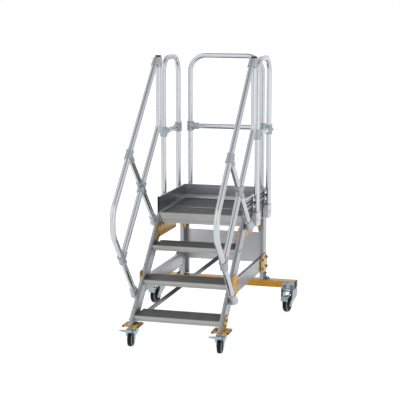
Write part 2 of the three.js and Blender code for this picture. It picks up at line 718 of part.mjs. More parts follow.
function putCaster(name, c, side, pedal) {
  const group = new THREE.Group();
  group.position.set(side * c.x, c.y, 0);
  group.rotation.z = THREE.MathUtils.degToRad(c.turn);
  ladder.add(group);
  put(`caster_fork_${name}`, casterFork(c), MATERIALS.zinc, group);
  put(`caster_wheel_${name}`, casterWheel(c), MATERIALS.tyre, group);
  put(`brake_pedal_${name}`, pedal(c), MATERIALS.zinc, group);
}

// ---------------------------------------------------------------- the ladder
putPair("stile", stile(), MATERIALS.profile);
for (let i = 1; i <= TREAD_COUNT; i += 1) {
  put(`tread_${i}`, tread(i), MATERIALS.tread);
}

put("deck_front", deckPlank(DECK_FRONT_Y, DECK_JOINT_Y, NOSING_H), MATERIALS.tread);
put("deck_rear", deckPlank(DECK_JOINT_Y + GAP, PLATFORM_BACK_Y - PROFILE_T - GAP, DECK_H),
  MATERIALS.tread);
put("platform_frame", platformFrame(), MATERIALS.profile);
putPair("toe_board", toeBoardSide(), MATERIALS.profile);
put("toe_board_rear", toeBoardRear(), MATERIALS.profile);
putPair("stile_gusset", stileGusset(), MATERIALS.gold);
putPair("leg_gusset", legGusset(), MATERIALS.gold);

putPair("rear_leg", rearLeg(), MATERIALS.profile);
putPair("base_beam", baseBeam(), MATERIALS.profile);
putPair("stile_plate", stilePlate(), MATERIALS.gold);
putPair("leg_plate", legPlate(), MATERIALS.gold);
put("stabiliser_beam", stabiliserBeam(), MATERIALS.gold);
putPair("leg_clamp", legClamp(), MATERIALS.zinc);
put("rear_panel", rearPanel(), MATERIALS.sheet);
put("diagonal_brace", diagonalBrace(), MATERIALS.profile);
putPair("front_foot", frontFoot(), MATERIALS.gold);
putPair("rear_caster_bracket", rearCasterBracket(), MATERIALS.zinc);

putPair("side_guard", sideGuard(), MATERIALS.tube);
put("rear_guard", rearGuard(), MATERIALS.tube);
putPair("side_mid_rail", midRail(
  [RAIL_X, SIDE_GUARD_Y[0], MID_RAIL_Z], [RAIL_X, SIDE_GUARD_Y[1], MID_RAIL_Z]), MATERIALS.tube);
put("rear_mid_rail", midRail(
  [-REAR_GUARD_X, REAR_GUARD_Y, MID_RAIL_Z], [REAR_GUARD_X, REAR_GUARD_Y, MID_RAIL_Z]),
MATERIALS.tube);
putPair("handrail", handrail(), MATERIALS.tube);
putPair("knee_rail", kneeRail(), MATERIALS.tube);
putPair("rail_brace", railBrace(), MATERIALS.tube);
putPair("lower_clamp", lowerClamp(), MATERIALS.cast);
putPair("top_clamp", topClamp(), MATERIALS.cast);

for (const [sideName, side] of [["left", -1], ["right", 1]]) {
  putCaster(`front_${sideName}`, FRONT_CASTER, side, frontPedal);
  putCaster(`rear_${sideName}`, REAR_CASTER, side, rearPedal);
}

ladder.position.y = ORIGIN_SHIFT;

const model = new THREE.Group();
model.add(ladder);

export default model;
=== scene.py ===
"""Looks of the rolling warehouse ladder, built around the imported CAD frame.

Shapes are drawn in millimetres of the stair frame: z is the height above the floor, x runs across,
and y = 0 is the line of the stair noses at platform level. PLACE turns that into metres of the CAD
frame, and a caster has a frame of its own, with its swivel axis at x = y = 0.
"""
import math
from types import SimpleNamespace

import bmesh
import bpy
from mathutils import Matrix, Vector


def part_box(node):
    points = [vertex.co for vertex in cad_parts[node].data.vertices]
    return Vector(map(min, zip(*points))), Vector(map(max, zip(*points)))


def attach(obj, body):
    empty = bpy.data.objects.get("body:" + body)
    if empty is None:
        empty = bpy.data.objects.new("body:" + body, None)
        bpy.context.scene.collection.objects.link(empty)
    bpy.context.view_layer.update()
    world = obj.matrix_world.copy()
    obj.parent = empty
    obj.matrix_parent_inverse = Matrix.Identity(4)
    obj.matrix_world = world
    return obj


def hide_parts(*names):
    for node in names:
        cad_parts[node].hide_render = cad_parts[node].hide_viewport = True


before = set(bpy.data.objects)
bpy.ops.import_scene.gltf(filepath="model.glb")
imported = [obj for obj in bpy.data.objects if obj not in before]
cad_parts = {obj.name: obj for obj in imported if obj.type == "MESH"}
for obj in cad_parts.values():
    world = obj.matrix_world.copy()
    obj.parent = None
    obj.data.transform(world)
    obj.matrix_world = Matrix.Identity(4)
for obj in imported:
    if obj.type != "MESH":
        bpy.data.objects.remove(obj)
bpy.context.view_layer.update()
ROOT = "ladder"
SIDES = (("right", 1), ("left", -1))

# ---- driving dimensions, in mm. A rise is z minus y along a line at 45 degrees.
MM = 0.001
GAP = 0.3
DECK_FRONT_Y = -15
STAIR_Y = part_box("deck_front")[0].y / MM - DECK_FRONT_Y
DECK_Z = round(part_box("deck_front")[1].z / MM)
RISE = DECK_Z / 4
INNER_X = round(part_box("stile_right")[0].x / MM)
OUTER_X = round(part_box("stile_right")[1].x / MM)
PROFILE_T = OUTER_X - INNER_X
PROFILE_D = 100
FRAME_TOP_Z = DECK_Z - 5
FRAME_LOW_Z = FRAME_TOP_Z - PROFILE_D
NOSE_RISE = DECK_Z
BACK_RISE = DECK_Z - PROFILE_D * math.sqrt(2)
JOINT_Y = FRAME_LOW_Z - BACK_RISE + GAP
BACK_Y = 665
LEG_FRONT_Y = 565
BASE_BEAM_Z = (318, 417)
TOE_T = 15
TOE_TOP_Z = 930
TOE_Y = BACK_Y - TOE_T

TUBE_R = 20
RAIL_X = 352
GUARD_TOP_Z = 1910
GUARD_LOW_Z = 712
GUARD_BEND_R = 120
GUARD_Y = (235, 606)
REAR_X = 281
REAR_Y = 690
MID_RAIL_Z = 1375
RAIL_BEND_R = 140
KNEE_BEND_R = 100
HANDRAIL_RISE = 1838
KNEE_RISE = 1317
HANDRAIL_FRONT_Y = -880
POST_Y = 115
POST_TOP_Z = 1934
RAIL_FOOT = Vector((RAIL_X, -448, 323))
LOWER_CLAMP = Vector((RAIL_X, -705, 612))
UPPER_Y = -542
CROSS_Y = UPPER_Y + (HANDRAIL_RISE - KNEE_RISE) / 2
BRACE_FOOT_RISE = 756
BRACE_FOOT_Y = UPPER_Y + (HANDRAIL_RISE - BRACE_FOOT_RISE) / 2

# A caster's y and z figures are taken from its swivel axis and the floor.
FRONT = SimpleNamespace(
    x=314, y=-618, top=139, wheel=50, width=32, trail=35, turn=4.5, crown=108, half=33,
    crown_y=(-36, 54), leg_y=(-46, 56), leg_half=22, bend=(58, 86), hinge=(-44, 118),
    boss=13, edge_depth=2, edge_width=15, edge_start=3)
REAR = SimpleNamespace(
    x=522, y=608, top=180, wheel=62.5, width=34, trail=40, turn=-9.5, crown=170, half=47,
    crown_y=(-50, 46), leg_y=(-52, 46), leg_half=27, bend=(45, 120), hinge=(-44, 158),
    boss=24, edge_depth=3, edge_width=18, edge_start=0)

BEAM_Y = (560, 640)
BEAM_Z = (184, 234)
BEAM_HALF = round(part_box("stabiliser_beam")[1].x / MM)
X, Y, Z = Vector((1, 0, 0)), Vector((0, 1, 0)), Vector((0, 0, 1))
UPHILL = Vector((0, 1, 1)).normalized()
ACROSS = Vector((0, 1, -1)).normalized()
PLACE = Matrix.Translation((0, STAIR_Y * MM, 0)) @ Matrix.Scale(MM, 4)
MIRROR = Matrix.Scale(-1, 4, X)


def rail(y, z):
    """A point in the plane of the right-hand rails."""
    return Vector((RAIL_X, y, z))


def on_handrail(y):
    return rail(y, y + HANDRAIL_RISE)


def on_knee_rail(y):
    return rail(y, y + KNEE_RISE)


# ---- materials
NOISE_LOW, NOISE_HIGH = 0.3, 0.7


class Nodes:
    """A material's node tree, with a few short calls for the nodes used here."""

    def __init__(self, name):
        self.material = bpy.data.materials.new(name)
        self.material.use_nodes = True
        self.tree = self.material.node_tree
        self.shader = self.tree.nodes["Principled BSDF"]
        self.here = self.tree.nodes.new("ShaderNodeTexCoord").outputs["Object"]

    def add(self, kind, wired, values):
        """A new node with one input wired and the others set."""
        node = self.tree.nodes.new(f"ShaderNode{kind}")
        for socket, value in values.items():
            node.inputs[socket].default_value = value
        for socket, out in wired.items():
            self.tree.links.new(out, node.inputs[socket])
        return node

    def fix(self, values):
        """Sets sockets of the surface shader to plain values."""
        for socket, value in values.items():
            self.shader.inputs[socket].default_value = value

    def stretched(self, scale, turn=(0, 0, 0)):
        """Object coordinates, turned and then scaled by a different number along each axis."""
        turned = self.add("Mapping", {"Vector": self.here}, {"Rotation": turn})
        return self.add("Mapping", {"Vector": turned.outputs[0]}, {"Scale": scale}).outputs[0]

    def noise(self, vector, scale, detail=3.0, rough=0.55):
        values = {"Scale": scale, "Detail": detail, "Roughness": rough}
        return self.add("TexNoise", {"Vector": vector}, values).outputs["Fac"]

    def roughen(self, value, low, high):
        """Lets a noise value move the roughness between two numbers."""
        values = {"From Min": NOISE_LOW, "From Max": NOISE_HIGH, "To Min": low, "To Max": high}
        node = self.add("MapRange", {"Value": value}, values)
        self.tree.links.new(node.outputs["Result"], self.shader.inputs["Roughness"])

    def tint(self, value, colour, dark, light):
        """Lets a noise value move the base colour between two shares of itself."""
        ramp = self.add("ValToRGB", {"Fac": value}, {})
        ends = (NOISE_LOW, dark), (NOISE_HIGH, light)
        for stop, (position, share) in zip(ramp.color_ramp.elements, ends):
            stop.position = position
            stop.color = (*(min(1.0, c * share) for c in colour), 1)
        self.tree.links.new(ramp.outputs["Color"], self.shader.inputs["Base Color"])

    def bump(self, height, strength, distance):
        node = self.add("Bump", {"Height": height}, {"Strength": strength, "Distance": distance})
        self.tree.links.new(node.outputs["Normal"], self.shader.inputs["Normal"])


def brushed(name, colour, roughness, stretch, turn=(0, 0, 0), contrast=0.08, metallic=1.0,
            relief=0.12, wear=1.0):
    """Bare or plated metal with fine lines along one direction and faint handling marks."""
    n = Nodes(name)
    lines = n.noise(n.stretched(stretch, turn), 90.0, 4.0, 0.6)
    marks = n.noise(n.here, 11.0, 5.0, 0.65)
    n.tint(lines, colour, 1 - contrast, 1 + contrast)
    n.roughen(marks, roughness - 0.05 * wear, roughness + 0.08 * wear)
    n.fix({"Metallic": metallic, "Specular IOR Level": 0.2 + 0.3 * metallic})
    n.bump(lines, relief, 0.0002)
    return n.material


def cast(name, colour, roughness):
    """Die-cast metal: a fine pebbled skin with slightly cloudy tone."""
    n = Nodes(name)
    cloud = n.noise(n.here, 38.0, 4.0)
    n.tint(cloud, colour, 0.9, 1.08)
    n.roughen(cloud, roughness - 0.04, roughness + 0.06)
    n.fix({"Metallic": 0.85})
    n.bump(n.noise(n.here, 950.0, 2.0), 0.25, 0.0003)
    return n.material


def coated(name, colour, roughness, metallic):
    """Gold coating over steel: faint orange peel, cloudy tone and small scuffs."""
    n = Nodes(name)
    n.tint(n.noise(n.here, 14.0, 5.0), colour, 0.86, 1.1)
    scuff = n.noise(n.stretched((1.0, 5.0, 2.0)), 60.0, 6.0, 0.7)
    n.roughen(scuff, roughness - 0.06, roughness + 0.14)
    n.fix({"Metallic": metallic, "Coat Weight": 0.12, "Coat Roughness": 0.2})
    n.bump(n.noise(n.here, 520.0, 2.0), 0.1, 0.0002)
    return n.material


def moulded(name, colour, roughness):
    """Moulded rubber or plastic: fine grain and a little uneven dust."""
    n = Nodes(name)
    dust = n.noise(n.here, 26.0, 5.0, 0.6)
    n.tint(dust, colour, 0.8, 1.35)
    n.roughen(dust, roughness - 0.08, roughness + 0.08)
    n.fix({"Specular IOR Level": 0.15})
    n.bump(n.noise(n.here, 700.0, 2.0), 0.15, 0.0002)
    return n.material


ALUMINIUM = (0.315, 0.325, 0.34)
M = {
    "stile": brushed("stile_aluminium", ALUMINIUM, 0.32, (6, 0.25, 6), (-math.radians(45), 0, 0)),
    "beam": brushed("beam_aluminium", ALUMINIUM, 0.32, (6, 0.25, 6)),
    "leg": brushed("leg_aluminium", ALUMINIUM, 0.32, (6, 6, 0.25)),
    "cross": brushed("cross_aluminium", ALUMINIUM, 0.34, (0.25, 6, 6)),
    # Tread tops: the same aluminium painted near black, a painted dark reflection and shade on the
    # ribbed walking surfaces.
    "tread_top_painted_shade": brushed("tread_top_painted_shade", (0.093, 0.094, 0.094), 0.42, (0.12, 5, 5), contrast=0.3,
                         metallic=0.1),
    "fascia": brushed("tread_fascia", (0.33, 0.33, 0.32), 0.34, (0.2, 6, 6)),
    # One toe board extrusion in two tones: the side boards a darker copy (painted shade), the rear
    # board a lighter copy (painted light).
    "toe": brushed("toe_board", (0.25, 0.262, 0.275), 0.28, (0.3, 0.3, 6), contrast=0.16),
    "toe_rear": brushed("rear_toe_board_painted_light", (0.38, 0.40, 0.425), 0.3, (0.3, 0.3, 6), contrast=0.16),
    "tube": brushed("rail_tube", (0.49, 0.505, 0.53), 0.2, (2, 2, 2), contrast=0.01, relief=0.0,
                    wear=0.1),
    "cast": cast("clamp_casting", (0.33, 0.38, 0.40), 0.42),
    "pale_cast": cast("socket_casting", (0.56, 0.57, 0.585), 0.4),
    "foot_cast": cast("foot_casting", (0.43, 0.44, 0.455), 0.4),
    "gold": coated("gold_coating", (0.455, 0.226, 0.010), 0.32, 0.6),
    "zinc": brushed("zinc_plate", (0.29, 0.35, 0.38), 0.26, (3, 3, 3), contrast=0.14),
    "bolt": brushed("bolt_steel", (0.16, 0.18, 0.20), 0.3, (4, 4, 4), contrast=0.15),
    "sheet": brushed("panel_sheet", (0.43, 0.44, 0.46), 0.34, (0.3, 5, 4), contrast=0.04),
    # Darker copy of the zinc for the rear casters' fork edges: painted shade.
    "dark_zinc": brushed("zinc_edge_painted_shade", (0.09, 0.115, 0.13), 0.3, (3, 3, 3), contrast=0.14),
    "chrome": brushed("bright_lug", (0.80, 0.81, 0.82), 0.22, (3, 3, 3), contrast=0.03),
    "tyre": moulded("tyre_rubber", (0.006, 0.006, 0.0065), 0.5),
    "hub": moulded("wheel_hub", (0.05, 0.052, 0.055), 0.45),
    # Grey ring beside the tread; its pale colour also paints the highlight on the tyre's shoulder.
    "rim": moulded("wheel_rim_painted_highlight", (0.17, 0.175, 0.18), 0.45),
    "cap": moulded("black_plastic", (0.012, 0.012, 0.013), 0.42),
}


# ---- mesh building
BEVEL_STEPS = 2


def prism(bm, loop, push, bevel=0.0):
    """A closed solid: a flat loop of points pushed along a vector, its edges rounded."""
    near = [bm.verts.new(p) for p in loop]
    far = [bm.verts.new(Vector(p) + Vector(push)) for p in loop]
    faces = [bm.faces.new(near), bm.faces.new(far[::-1])]
    for i in range(len(loop)):
        j = (i + 1) % len(loop)
        faces.append(bm.faces.new((near[j], near[i], far[i], far[j])))
    bmesh.ops.recalc_face_normals(bm, faces=faces)
    if bevel:
        edges = list(dict.fromkeys(e for f in faces for e in f.edges))
        bmesh.ops.bevel(bm, geom=edges, offset=bevel, segments=BEVEL_STEPS, profile=0.5,
                        affect="EDGES", clamp_overlap=True)


def brick(bm, x, y, z, bevel=0.8):
    loop = [(x[0], y[0], z[0]), (x[1], y[0], z[0]), (x[1], y[1], z[0]), (x[0], y[1], z[0])]
    prism(bm, loop, (0, 0, z[1] - z[0]), bevel)


def side_plate(bm, outline, x0, x1, bevel=0.8):
    """An outline in (y, z), pushed from x0 to x1."""
    prism(bm, [Vector((x0, y, z)) for y, z in outline], (x1 - x0, 0, 0), bevel)


def square_to(axis):
    axis = Vector(axis).normalized()
    first = axis.cross(X if abs(axis.x) < 0.9 else Y).normalized()
    return axis, first, axis.cross(first)


def circle(count):
    return [2 * math.pi * i / count for i in range(count)]


def skin(bm, rings, ends=()):
    """Joins each ring of points to the next with faces. A ring of one point is a tip."""
    faces = list(ends)
    for low, high in zip(rings, rings[1:]):
        count = max(len(low), len(high))
        for i in range(count):
            j = (i + 1) % count
            corners = dict.fromkeys((low[i % len(low)], low[j % len(low)],
                                     high[j % len(high)], high[i % len(high)]))
            if len(corners) > 2:
                faces.append(bm.faces.new(tuple(corners)))
    bmesh.ops.recalc_face_normals(bm, faces=faces)


def lathe(bm, centre, axis, profile, sides=32):
    """A solid of revolution. The profile of (radius, height) starts and ends on the axis."""
    axis, u, v = square_to(axis)
    centre = Vector(centre)
    skin(bm, [[bm.verts.new(centre + axis * h + (u * math.cos(a) + v * math.sin(a)) * r)
               for a in (circle(sides) if r else (0,))] for r, h in profile])


def ring_lathe(bm, centre, axis, profile, sides=32):
    """A ring of revolution whose profile closes on itself."""
    axis, u, v = square_to(axis)
    centre = Vector(centre)
    rings = []
    for a in circle(sides):
        out = u * math.cos(a) + v * math.sin(a)
        rings.append([bm.verts.new(centre + out * r + axis * h) for r, h in profile])
    skin(bm, rings + rings[:1])


def rod(bm, start, end, radius, far_radius=None, sides=28, round_off=1.5):
    """A bar from start to end with rounded rims."""
    start, end = Vector(start), Vector(end)
    far = radius if far_radius is None else far_radius
    length = (end - start).length
    lathe(bm, start, end - start, [
        (0, 0), (radius - round_off, 0), (radius, round_off), (far, length - round_off),
        (far - round_off, length), (0, length)], sides)


def bent_path(corners, radius, steps=14):
    """Points along straight runs joined by arcs of one radius."""
    points = [Vector(corners[0])]
    for before, corner, after in zip(corners, corners[1:], corners[2:]):
        into = (corner - before).normalized()
        out = (after - corner).normalized()
        angle = into.angle(out)
        setback = radius * math.tan(angle / 2)
        centre = corner + (out - into).normalized() * radius / math.cos(angle / 2)
        arm = corner - into * setback - centre
        axis = into.cross(out).normalized()
        count = max(3, round(steps * angle / (math.pi / 2)))
        points += [centre + Matrix.Rotation(angle * i / count, 3, axis) @ arm
                   for i in range(count + 1)]
    points.append(Vector(corners[-1]))
    return points


def sweep(bm, points, radius, sides=28):
    """A round bar along a path that stays in one plane, closed at both ends."""
    normal = None
    for before, here, after in zip(points, points[1:], points[2:]):
        turn = (here - before).cross(after - here)
        if turn.length > 1e-6:
            normal = turn.normalized()
            break
    if normal is None:
        normal = square_to(points[-1] - points[0])[1]
    rings = []
    for i, here in enumerate(points):
        into = (here - points[i - 1]).normalized() if i else (points[1] - here).normalized()
        out = (points[i + 1] - here).normalized() if i + 1 < len(points) else into
        tangent = (into + out).normalized()
        side = normal.cross(tangent).normalized()
        rings.append([bm.verts.new(here + (side * math.cos(a) + normal * math.sin(a)) * radius)
                      for a in circle(sides)])
    skin(bm, rings, [bm.faces.new(rings[0]), bm.faces.new(rings[-1][::-1])])


def trim(bm, point, keep):
    """Cuts the whole mesh by a plane and closes the cut. keep points to the side that stays."""
    geometry = bm.verts[:] + bm.edges[:] + bm.faces[:]
    bmesh.ops.bisect_plane(bm, geom=geometry, dist=1e-4, plane_co=point, plane_no=-Vector(keep),
                           clear_outer=True)
    rim = [e for e in bm.edges if e.is_boundary]
    if rim:
        bmesh.ops.edgenet_fill(bm, edges=rim)
    bmesh.ops.recalc_face_normals(bm, faces=bm.faces[:])


def to_mesh(name, bm):
    mesh = bpy.data.meshes.new(name)
    bm.to_mesh(mesh)
    bm.free()
    return mesh


def add_object(name, data):
    obj = bpy.data.objects.new(name, data)
    bpy.context.scene.collection.objects.link(obj)
    return obj


def piece(name, bm, material, body=ROOT, replaces=(), mirror=False, at=PLACE):
    """Turns a drawing into a finished piece that rides on a body."""
    if mirror:
        bmesh.ops.transform(bm, matrix=MIRROR, verts=bm.verts[:])
        bmesh.ops.reverse_faces(bm, faces=bm.faces[:])
    bmesh.ops.transform(bm, matrix=at, verts=bm.verts[:])
    piece_from_mesh(name, to_mesh(name, bm), material, body, replaces)


def piece_from_mesh(name, mesh, material, body=ROOT, replaces=(), crease=32):
    mesh.shade_smooth()
    mesh.set_sharp_from_angle(angle=math.radians(crease))
    for key in [material] if isinstance(material, str) else material:
        mesh.materials.append(M[key])
    obj = add_object(name, mesh)
    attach(obj, body)
    if replaces:
        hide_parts(*replaces)


def drawn(draw, *args):
    bm = bmesh.new()
    draw(bm, *args)
    return bm


def single(name, draw, material, stands=False):
    """A piece the ladder has once. If it stands for a CAD node, that node has the same name."""
    piece(name, drawn(draw), material, replaces=(name,) if stands else ())


def pair(name, draw, material, stands=False):
    """A right-hand piece and its mirror image."""
    for side, sign in SIDES:
        full = f"{name}_{side}"
        piece(full, drawn(draw), material, replaces=(full,) if stands else (),
              mirror=sign < 0)


CASTING_VOXEL = 2.2
CASTING_SMOOTH = 2
CASTING_KEEP = 0.35
CASTING_CREASE = 60


def casting_mesh(name, draw):
    """Melts the drawn solids into one body with soft fillets, as a casting has."""
    bm = drawn(draw)
    bmesh.ops.transform(bm, matrix=PLACE, verts=bm.verts[:])
    rough = to_mesh(name, bm)
    obj = add_object(name, rough)
    remesh = obj.modifiers.new("melt", "REMESH")
    remesh.mode = "VOXEL"
    remesh.voxel_size = CASTING_VOXEL * MM
    soften = obj.modifiers.new("soften", "SMOOTH")
    soften.factor = 0.5
    soften.iterations = CASTING_SMOOTH
    thin = obj.modifiers.new("thin", "DECIMATE")
    thin.ratio = CASTING_KEEP
    graph = bpy.context.evaluated_depsgraph_get()
    mesh = bpy.data.meshes.new_from_object(obj.evaluated_get(graph))
    mesh.name = name
    bpy.data.objects.remove(obj)
    bpy.data.meshes.remove(rough)
    return mesh


def cast_pair(name, draw, material="cast", stands=False):
    """A right-hand casting and its mirror image."""
    right = casting_mesh(f"{name}_right", draw)
    left = right.copy()
    left.name = f"{name}_left"
    left.transform(MIRROR)
    left.flip_normals()
    for (side, _), mesh in zip(SIDES, (right, left)):
        full = f"{name}_{side}"
        piece_from_mesh(full, mesh, material, crease=CASTING_CREASE,
                        replaces=(full,) if stands else ())


# ---- fasteners
def hex_bolt(bm, point, normal, across=13, height=6, washer=True):
    """A hexagon head with a chamfered top, on a washer, looking along normal."""
    r = across / math.sqrt(3)
    base = 1.6 if washer else 0
    if washer:
        lathe(bm, point, normal, [(0, 0), (across * 0.86, 0), (across * 0.86, 1.1),
                                  (across * 0.82, base), (0, base)], 24)
    lathe(bm, point, normal, [(0, base), (r, base), (r, base + height - 1.4),
                              (r * 0.84, base + height), (0, base + height)], 6)


def socket_bolt(bm, point, normal, radius=6, height=5):
    """A cylinder head with a hexagon socket."""
    lathe(bm, point, normal, [
        (0, 0), (radius, 0), (radius, height - 0.8), (radius - 0.8, height),
        (radius * 0.55, height), (radius * 0.5, height - 3), (0, height - 3)], 24)


def dome_bolt(bm, point, normal, radius=7, height=4.5):
    steps = 6
    arc = [(radius * math.cos(a), height * math.sin(a))
           for a in (math.pi / 2 * i / steps for i in range(steps))]
    lathe(bm, point, normal, [(0, 0), *arc, (0, height)], 24)


# ---- extruded side profile
BAND = 20
GROOVE = 3.5
WEB_DROP = 1.6
EDGE_BAND = 6


def profile_section():
    """(thickness, depth) outline: a raised front band, a groove and a low web on both faces."""
    r = 2.2
    near = [(0, r), (0, BAND), (3, BAND + 0.6), (3, BAND + GROOVE),
            (WEB_DROP, BAND + GROOVE + 0.8), (WEB_DROP, PROFILE_D - EDGE_BAND - 1),
            (0, PROFILE_D - EDGE_BAND), (0, PROFILE_D - r), (0.65, PROFILE_D - 0.65), (r, PROFILE_D)]
    front = [(r, 0), (0.65, 0.65)]
    far = [(PROFILE_T - t, d) for t, d in near[::-1] + front[::-1]]
    return near + far + front


def extrude_profile(bm, corner, thickness_axis, depth_axis, along, length):
    corner = Vector(corner)
    loop = [corner + thickness_axis * t + depth_axis * d for t, d in profile_section()]
    prism(bm, loop, Vector(along) * length)


def draw_stile(bm):
    """Drawn too long, then cut at the foot plate, the deck and the side beam."""
    bottom = FOOT_Z[1] + GAP
    start = Vector((INNER_X, bottom - NOSE_RISE, bottom)) - UPHILL * 160
    extrude_profile(bm, start, X, ACROSS, UPHILL, 1300)
    trim(bm, (0, 0, bottom), Z)
    trim(bm, (0, 0, FRAME_TOP_Z), -Z)
    trim(bm, (0, FRAME_LOW_Z - BACK_RISE, 0), -Y)


def draw_side_beam(bm):
    extrude_profile(bm, (INNER_X, JOINT_Y, FRAME_TOP_Z), X, -Z, Y, BACK_Y - JOINT_Y)


def draw_rear_beam(bm):
    start = (-INNER_X + GAP, BACK_Y, FRAME_TOP_Z)
    extrude_profile(bm, start, -Y, -Z, X, 2 * INNER_X - 2 * GAP)


def draw_base_beam(bm):
    low, high = BASE_BEAM_Z
    corner = (INNER_X, low - BACK_RISE - 5, high)
    extrude_profile(bm, corner, X, -Z, Y, LEG_FRONT_Y - GAP - corner[1])
    trim(bm, (0, 0, low), Z)
    trim(bm, (0, low - BACK_RISE + GAP, low), Y - Z)


def build_profiles():
    pair("stile", draw_stile, "stile", True)
    pair("platform_beam", draw_side_beam, "beam")
    pair("base_beam", draw_base_beam, "beam", True)
    piece("platform_rear_beam", drawn(draw_rear_beam), "cross",
          replaces=("platform_frame",))


# ---- treads and deck
RIB_PITCH = 9.3
RIB_DEPTH = 0.9
PLANK_H = 36
PLANK_HALF = INNER_X - GAP
DECK_NOSE_H = 75
DECK_JOINT_Y = 255
TREAD_DEPTH = 206


def ribbed_line(front, back, top):
    """Points of a ribbed walking surface, from front to back."""
    count = round((back - front) / RIB_PITCH)
    pitch = (back - front) / count
    points = []
    for i in range(count):
        y = front + i * pitch
        points += [(y + 0.30 * pitch, top), (y + 0.40 * pitch, top - RIB_DEPTH),
                   (y + 0.90 * pitch, top - RIB_DEPTH), (y + pitch, top)]
    return points


def plank_section(front, back, top, fascia):
    """Side view of a plank: rounded nose, banded fascia, ribbed top and webs below."""
    low = top - PLANK_H
    nose = [(front + 5 - 5 * math.cos(a), top - 5 + 5 * math.sin(a))
            for a in (math.pi / 2 * i / 5 for i in range(6))]
    surface = ribbed_line(front + 14, back - 8, top)
    rear = [(back, top), (back, low), (back - 3, low), (back - 3, top - 4)]
    webs = []
    for share in (2 / 3, 1 / 3):
        y = front + (back - front) * share
        webs += [(y + 3, top - 4), (y + 3, low), (y, low), (y, top - 4)]
    inside = [(front + 3.5, top - 4), (front + 3.5, top - fascia + 3),
              (front + 12, top - fascia + 3), (front + 12, top - fascia)]
    groove = top - fascia + 0.30 * fascia
    face = [(front + 1, top - fascia), (front, top - fascia + 1), (front, groove - 2),
            (front + 1.6, groove - 1), (front + 1.6, groove + 1), (front, groove + 2)]
    return nose + surface + rear + webs + inside + face


def plank(name, front, back, top, fascia=PLANK_H):
    bm = bmesh.new()
    side_plate(bm, plank_section(front, back, top, fascia), -PLANK_HALF, PLANK_HALF, 0)
    # Ribbed top faces take the near-black copy: painted shade and dark reflection on the walking
    # surface.
    for face in bm.faces:
        middle = face.calc_center_median()
        inside = middle.y > front + 4 and abs(middle.x) < PLANK_HALF
        face.material_index = 1 if middle.z > top - 2 * RIB_DEPTH and inside else 0
    piece(name, bm, ("fascia", "tread_top_painted_shade"), replaces=(name,))


def draw_deck_strips(bm):
    """Fillers at the sides, the strip over the planks' joint and the one at the rear toe board."""
    for s in (1, -1):
        edge = sorted((s * PLANK_HALF, s * (OUTER_X - TOE_T - 0.5)))
        brick(bm, edge, (-4.5, TOE_Y - 2 * GAP), (FRAME_TOP_Z + 0.4, DECK_Z), 0.5)
    across = (-INNER_X + 2, INNER_X - 2)
    brick(bm, across, (DECK_JOINT_Y - 1.6, DECK_JOINT_Y + 1.6),
          (DECK_Z - 1.5, DECK_Z + 1.5), 0.5)
    brick(bm, across, (TOE_Y - 12, TOE_Y - 2 * GAP), (DECK_Z + 0.1, DECK_Z + 7), 1)


def build_treads():
    for i in (1, 2, 3):
        front = i * RISE - DECK_Z
        plank(f"tread_{i}", front, front + TREAD_DEPTH, i * RISE)
    plank("deck_front", DECK_FRONT_Y, DECK_JOINT_Y - 0.2, DECK_Z, DECK_NOSE_H)
    plank("deck_rear", DECK_JOINT_Y + 0.2, TOE_Y - 2 * GAP, DECK_Z)
    single("deck_edge_strips", draw_deck_strips, "tube")


# ---- toe boards
TOE_GROOVES = (20, 46, 82)
TOE_GROOVE_D = 6


def toe_section():
    """(thickness, height) outline: two slots inside, three grooves outside and a foot flange."""
    t, low, high = TOE_T, FRAME_TOP_Z + GAP, TOE_TOP_Z
    inner = [(0, low + 12)]
    for z in (low + 42, low + 74):
        inner += [(0, z), (1.4, z + 0.8), (1.4, z + 2.2), (0, z + 3)]
    inner += [(0, high - 8), (-1.2, high - 7), (-1.2, high - 1.2), (0, high)]
    outer = [(t, high), (t, high - 16)]
    for z in TOE_GROOVES:
        outer += [(t, high - z), (t - TOE_GROOVE_D, high - z - 1),
                  (t - TOE_GROOVE_D, high - z - 10), (t, high - z - 11)]
    outer += [(t, low)]
    flange = [(0, low), (0, low + 5.2), (-7, low + 5.5), (-7, low + 7), (-2, low + 8)]
    return inner + outer + flange


def draw_side_toe_board(bm):
    """Painted shade: the floors of its outer grooves are black. Its top rim takes the paler tube
    metal.
    """
    prism(bm, [(OUTER_X - TOE_T + t, 0, z) for t, z in toe_section()], (0, TOE_Y - GAP, 0))
    # Groove floors take the black slot: painted shade in the grooves.
    for face in bm.faces:
        middle = face.calc_center_median()
        if 0 < OUTER_X - middle.x - 1 < TOE_GROOVE_D + 1 and abs(face.normal.x) > 0.9:
            face.material_index = 1
        elif middle.z > TOE_TOP_Z - 0.5:
            face.material_index = 2


def draw_rear_toe_board(bm):
    side_plate(bm, [(TOE_Y + t, z) for t, z in toe_section()], -OUTER_X, OUTER_X, 0)


def draw_toe_caps(bm):
    z = (FRAME_TOP_Z + 3, TOE_TOP_Z - 1)
    for s in (1, -1):
        brick(bm, sorted((s * (OUTER_X - TOE_T + 1), s * (OUTER_X - 1))), (-3, 1), z, 1.0)
        brick(bm, sorted((s * (OUTER_X - 1), s * (OUTER_X + 3))), (TOE_Y + 1, BACK_Y - 1),
              z, 1.0)


def build_toe_boards():
    # Side boards: darker board copy (painted shade), black groove floors (painted shade), tube metal
    # on the rim.
    pair("toe_board", draw_side_toe_board, ("toe", "cap", "tube"), True)
    # The rear board is the lighter copy of the same extrusion: painted light.
    single("toe_board_rear", draw_rear_toe_board, "toe_rear", True)
    single("toe_board_caps", draw_toe_caps, "cap")


# ---- tubes
def tube(bm, corners, bend=GUARD_BEND_R):
    sweep(bm, bent_path(corners, bend), TUBE_R)


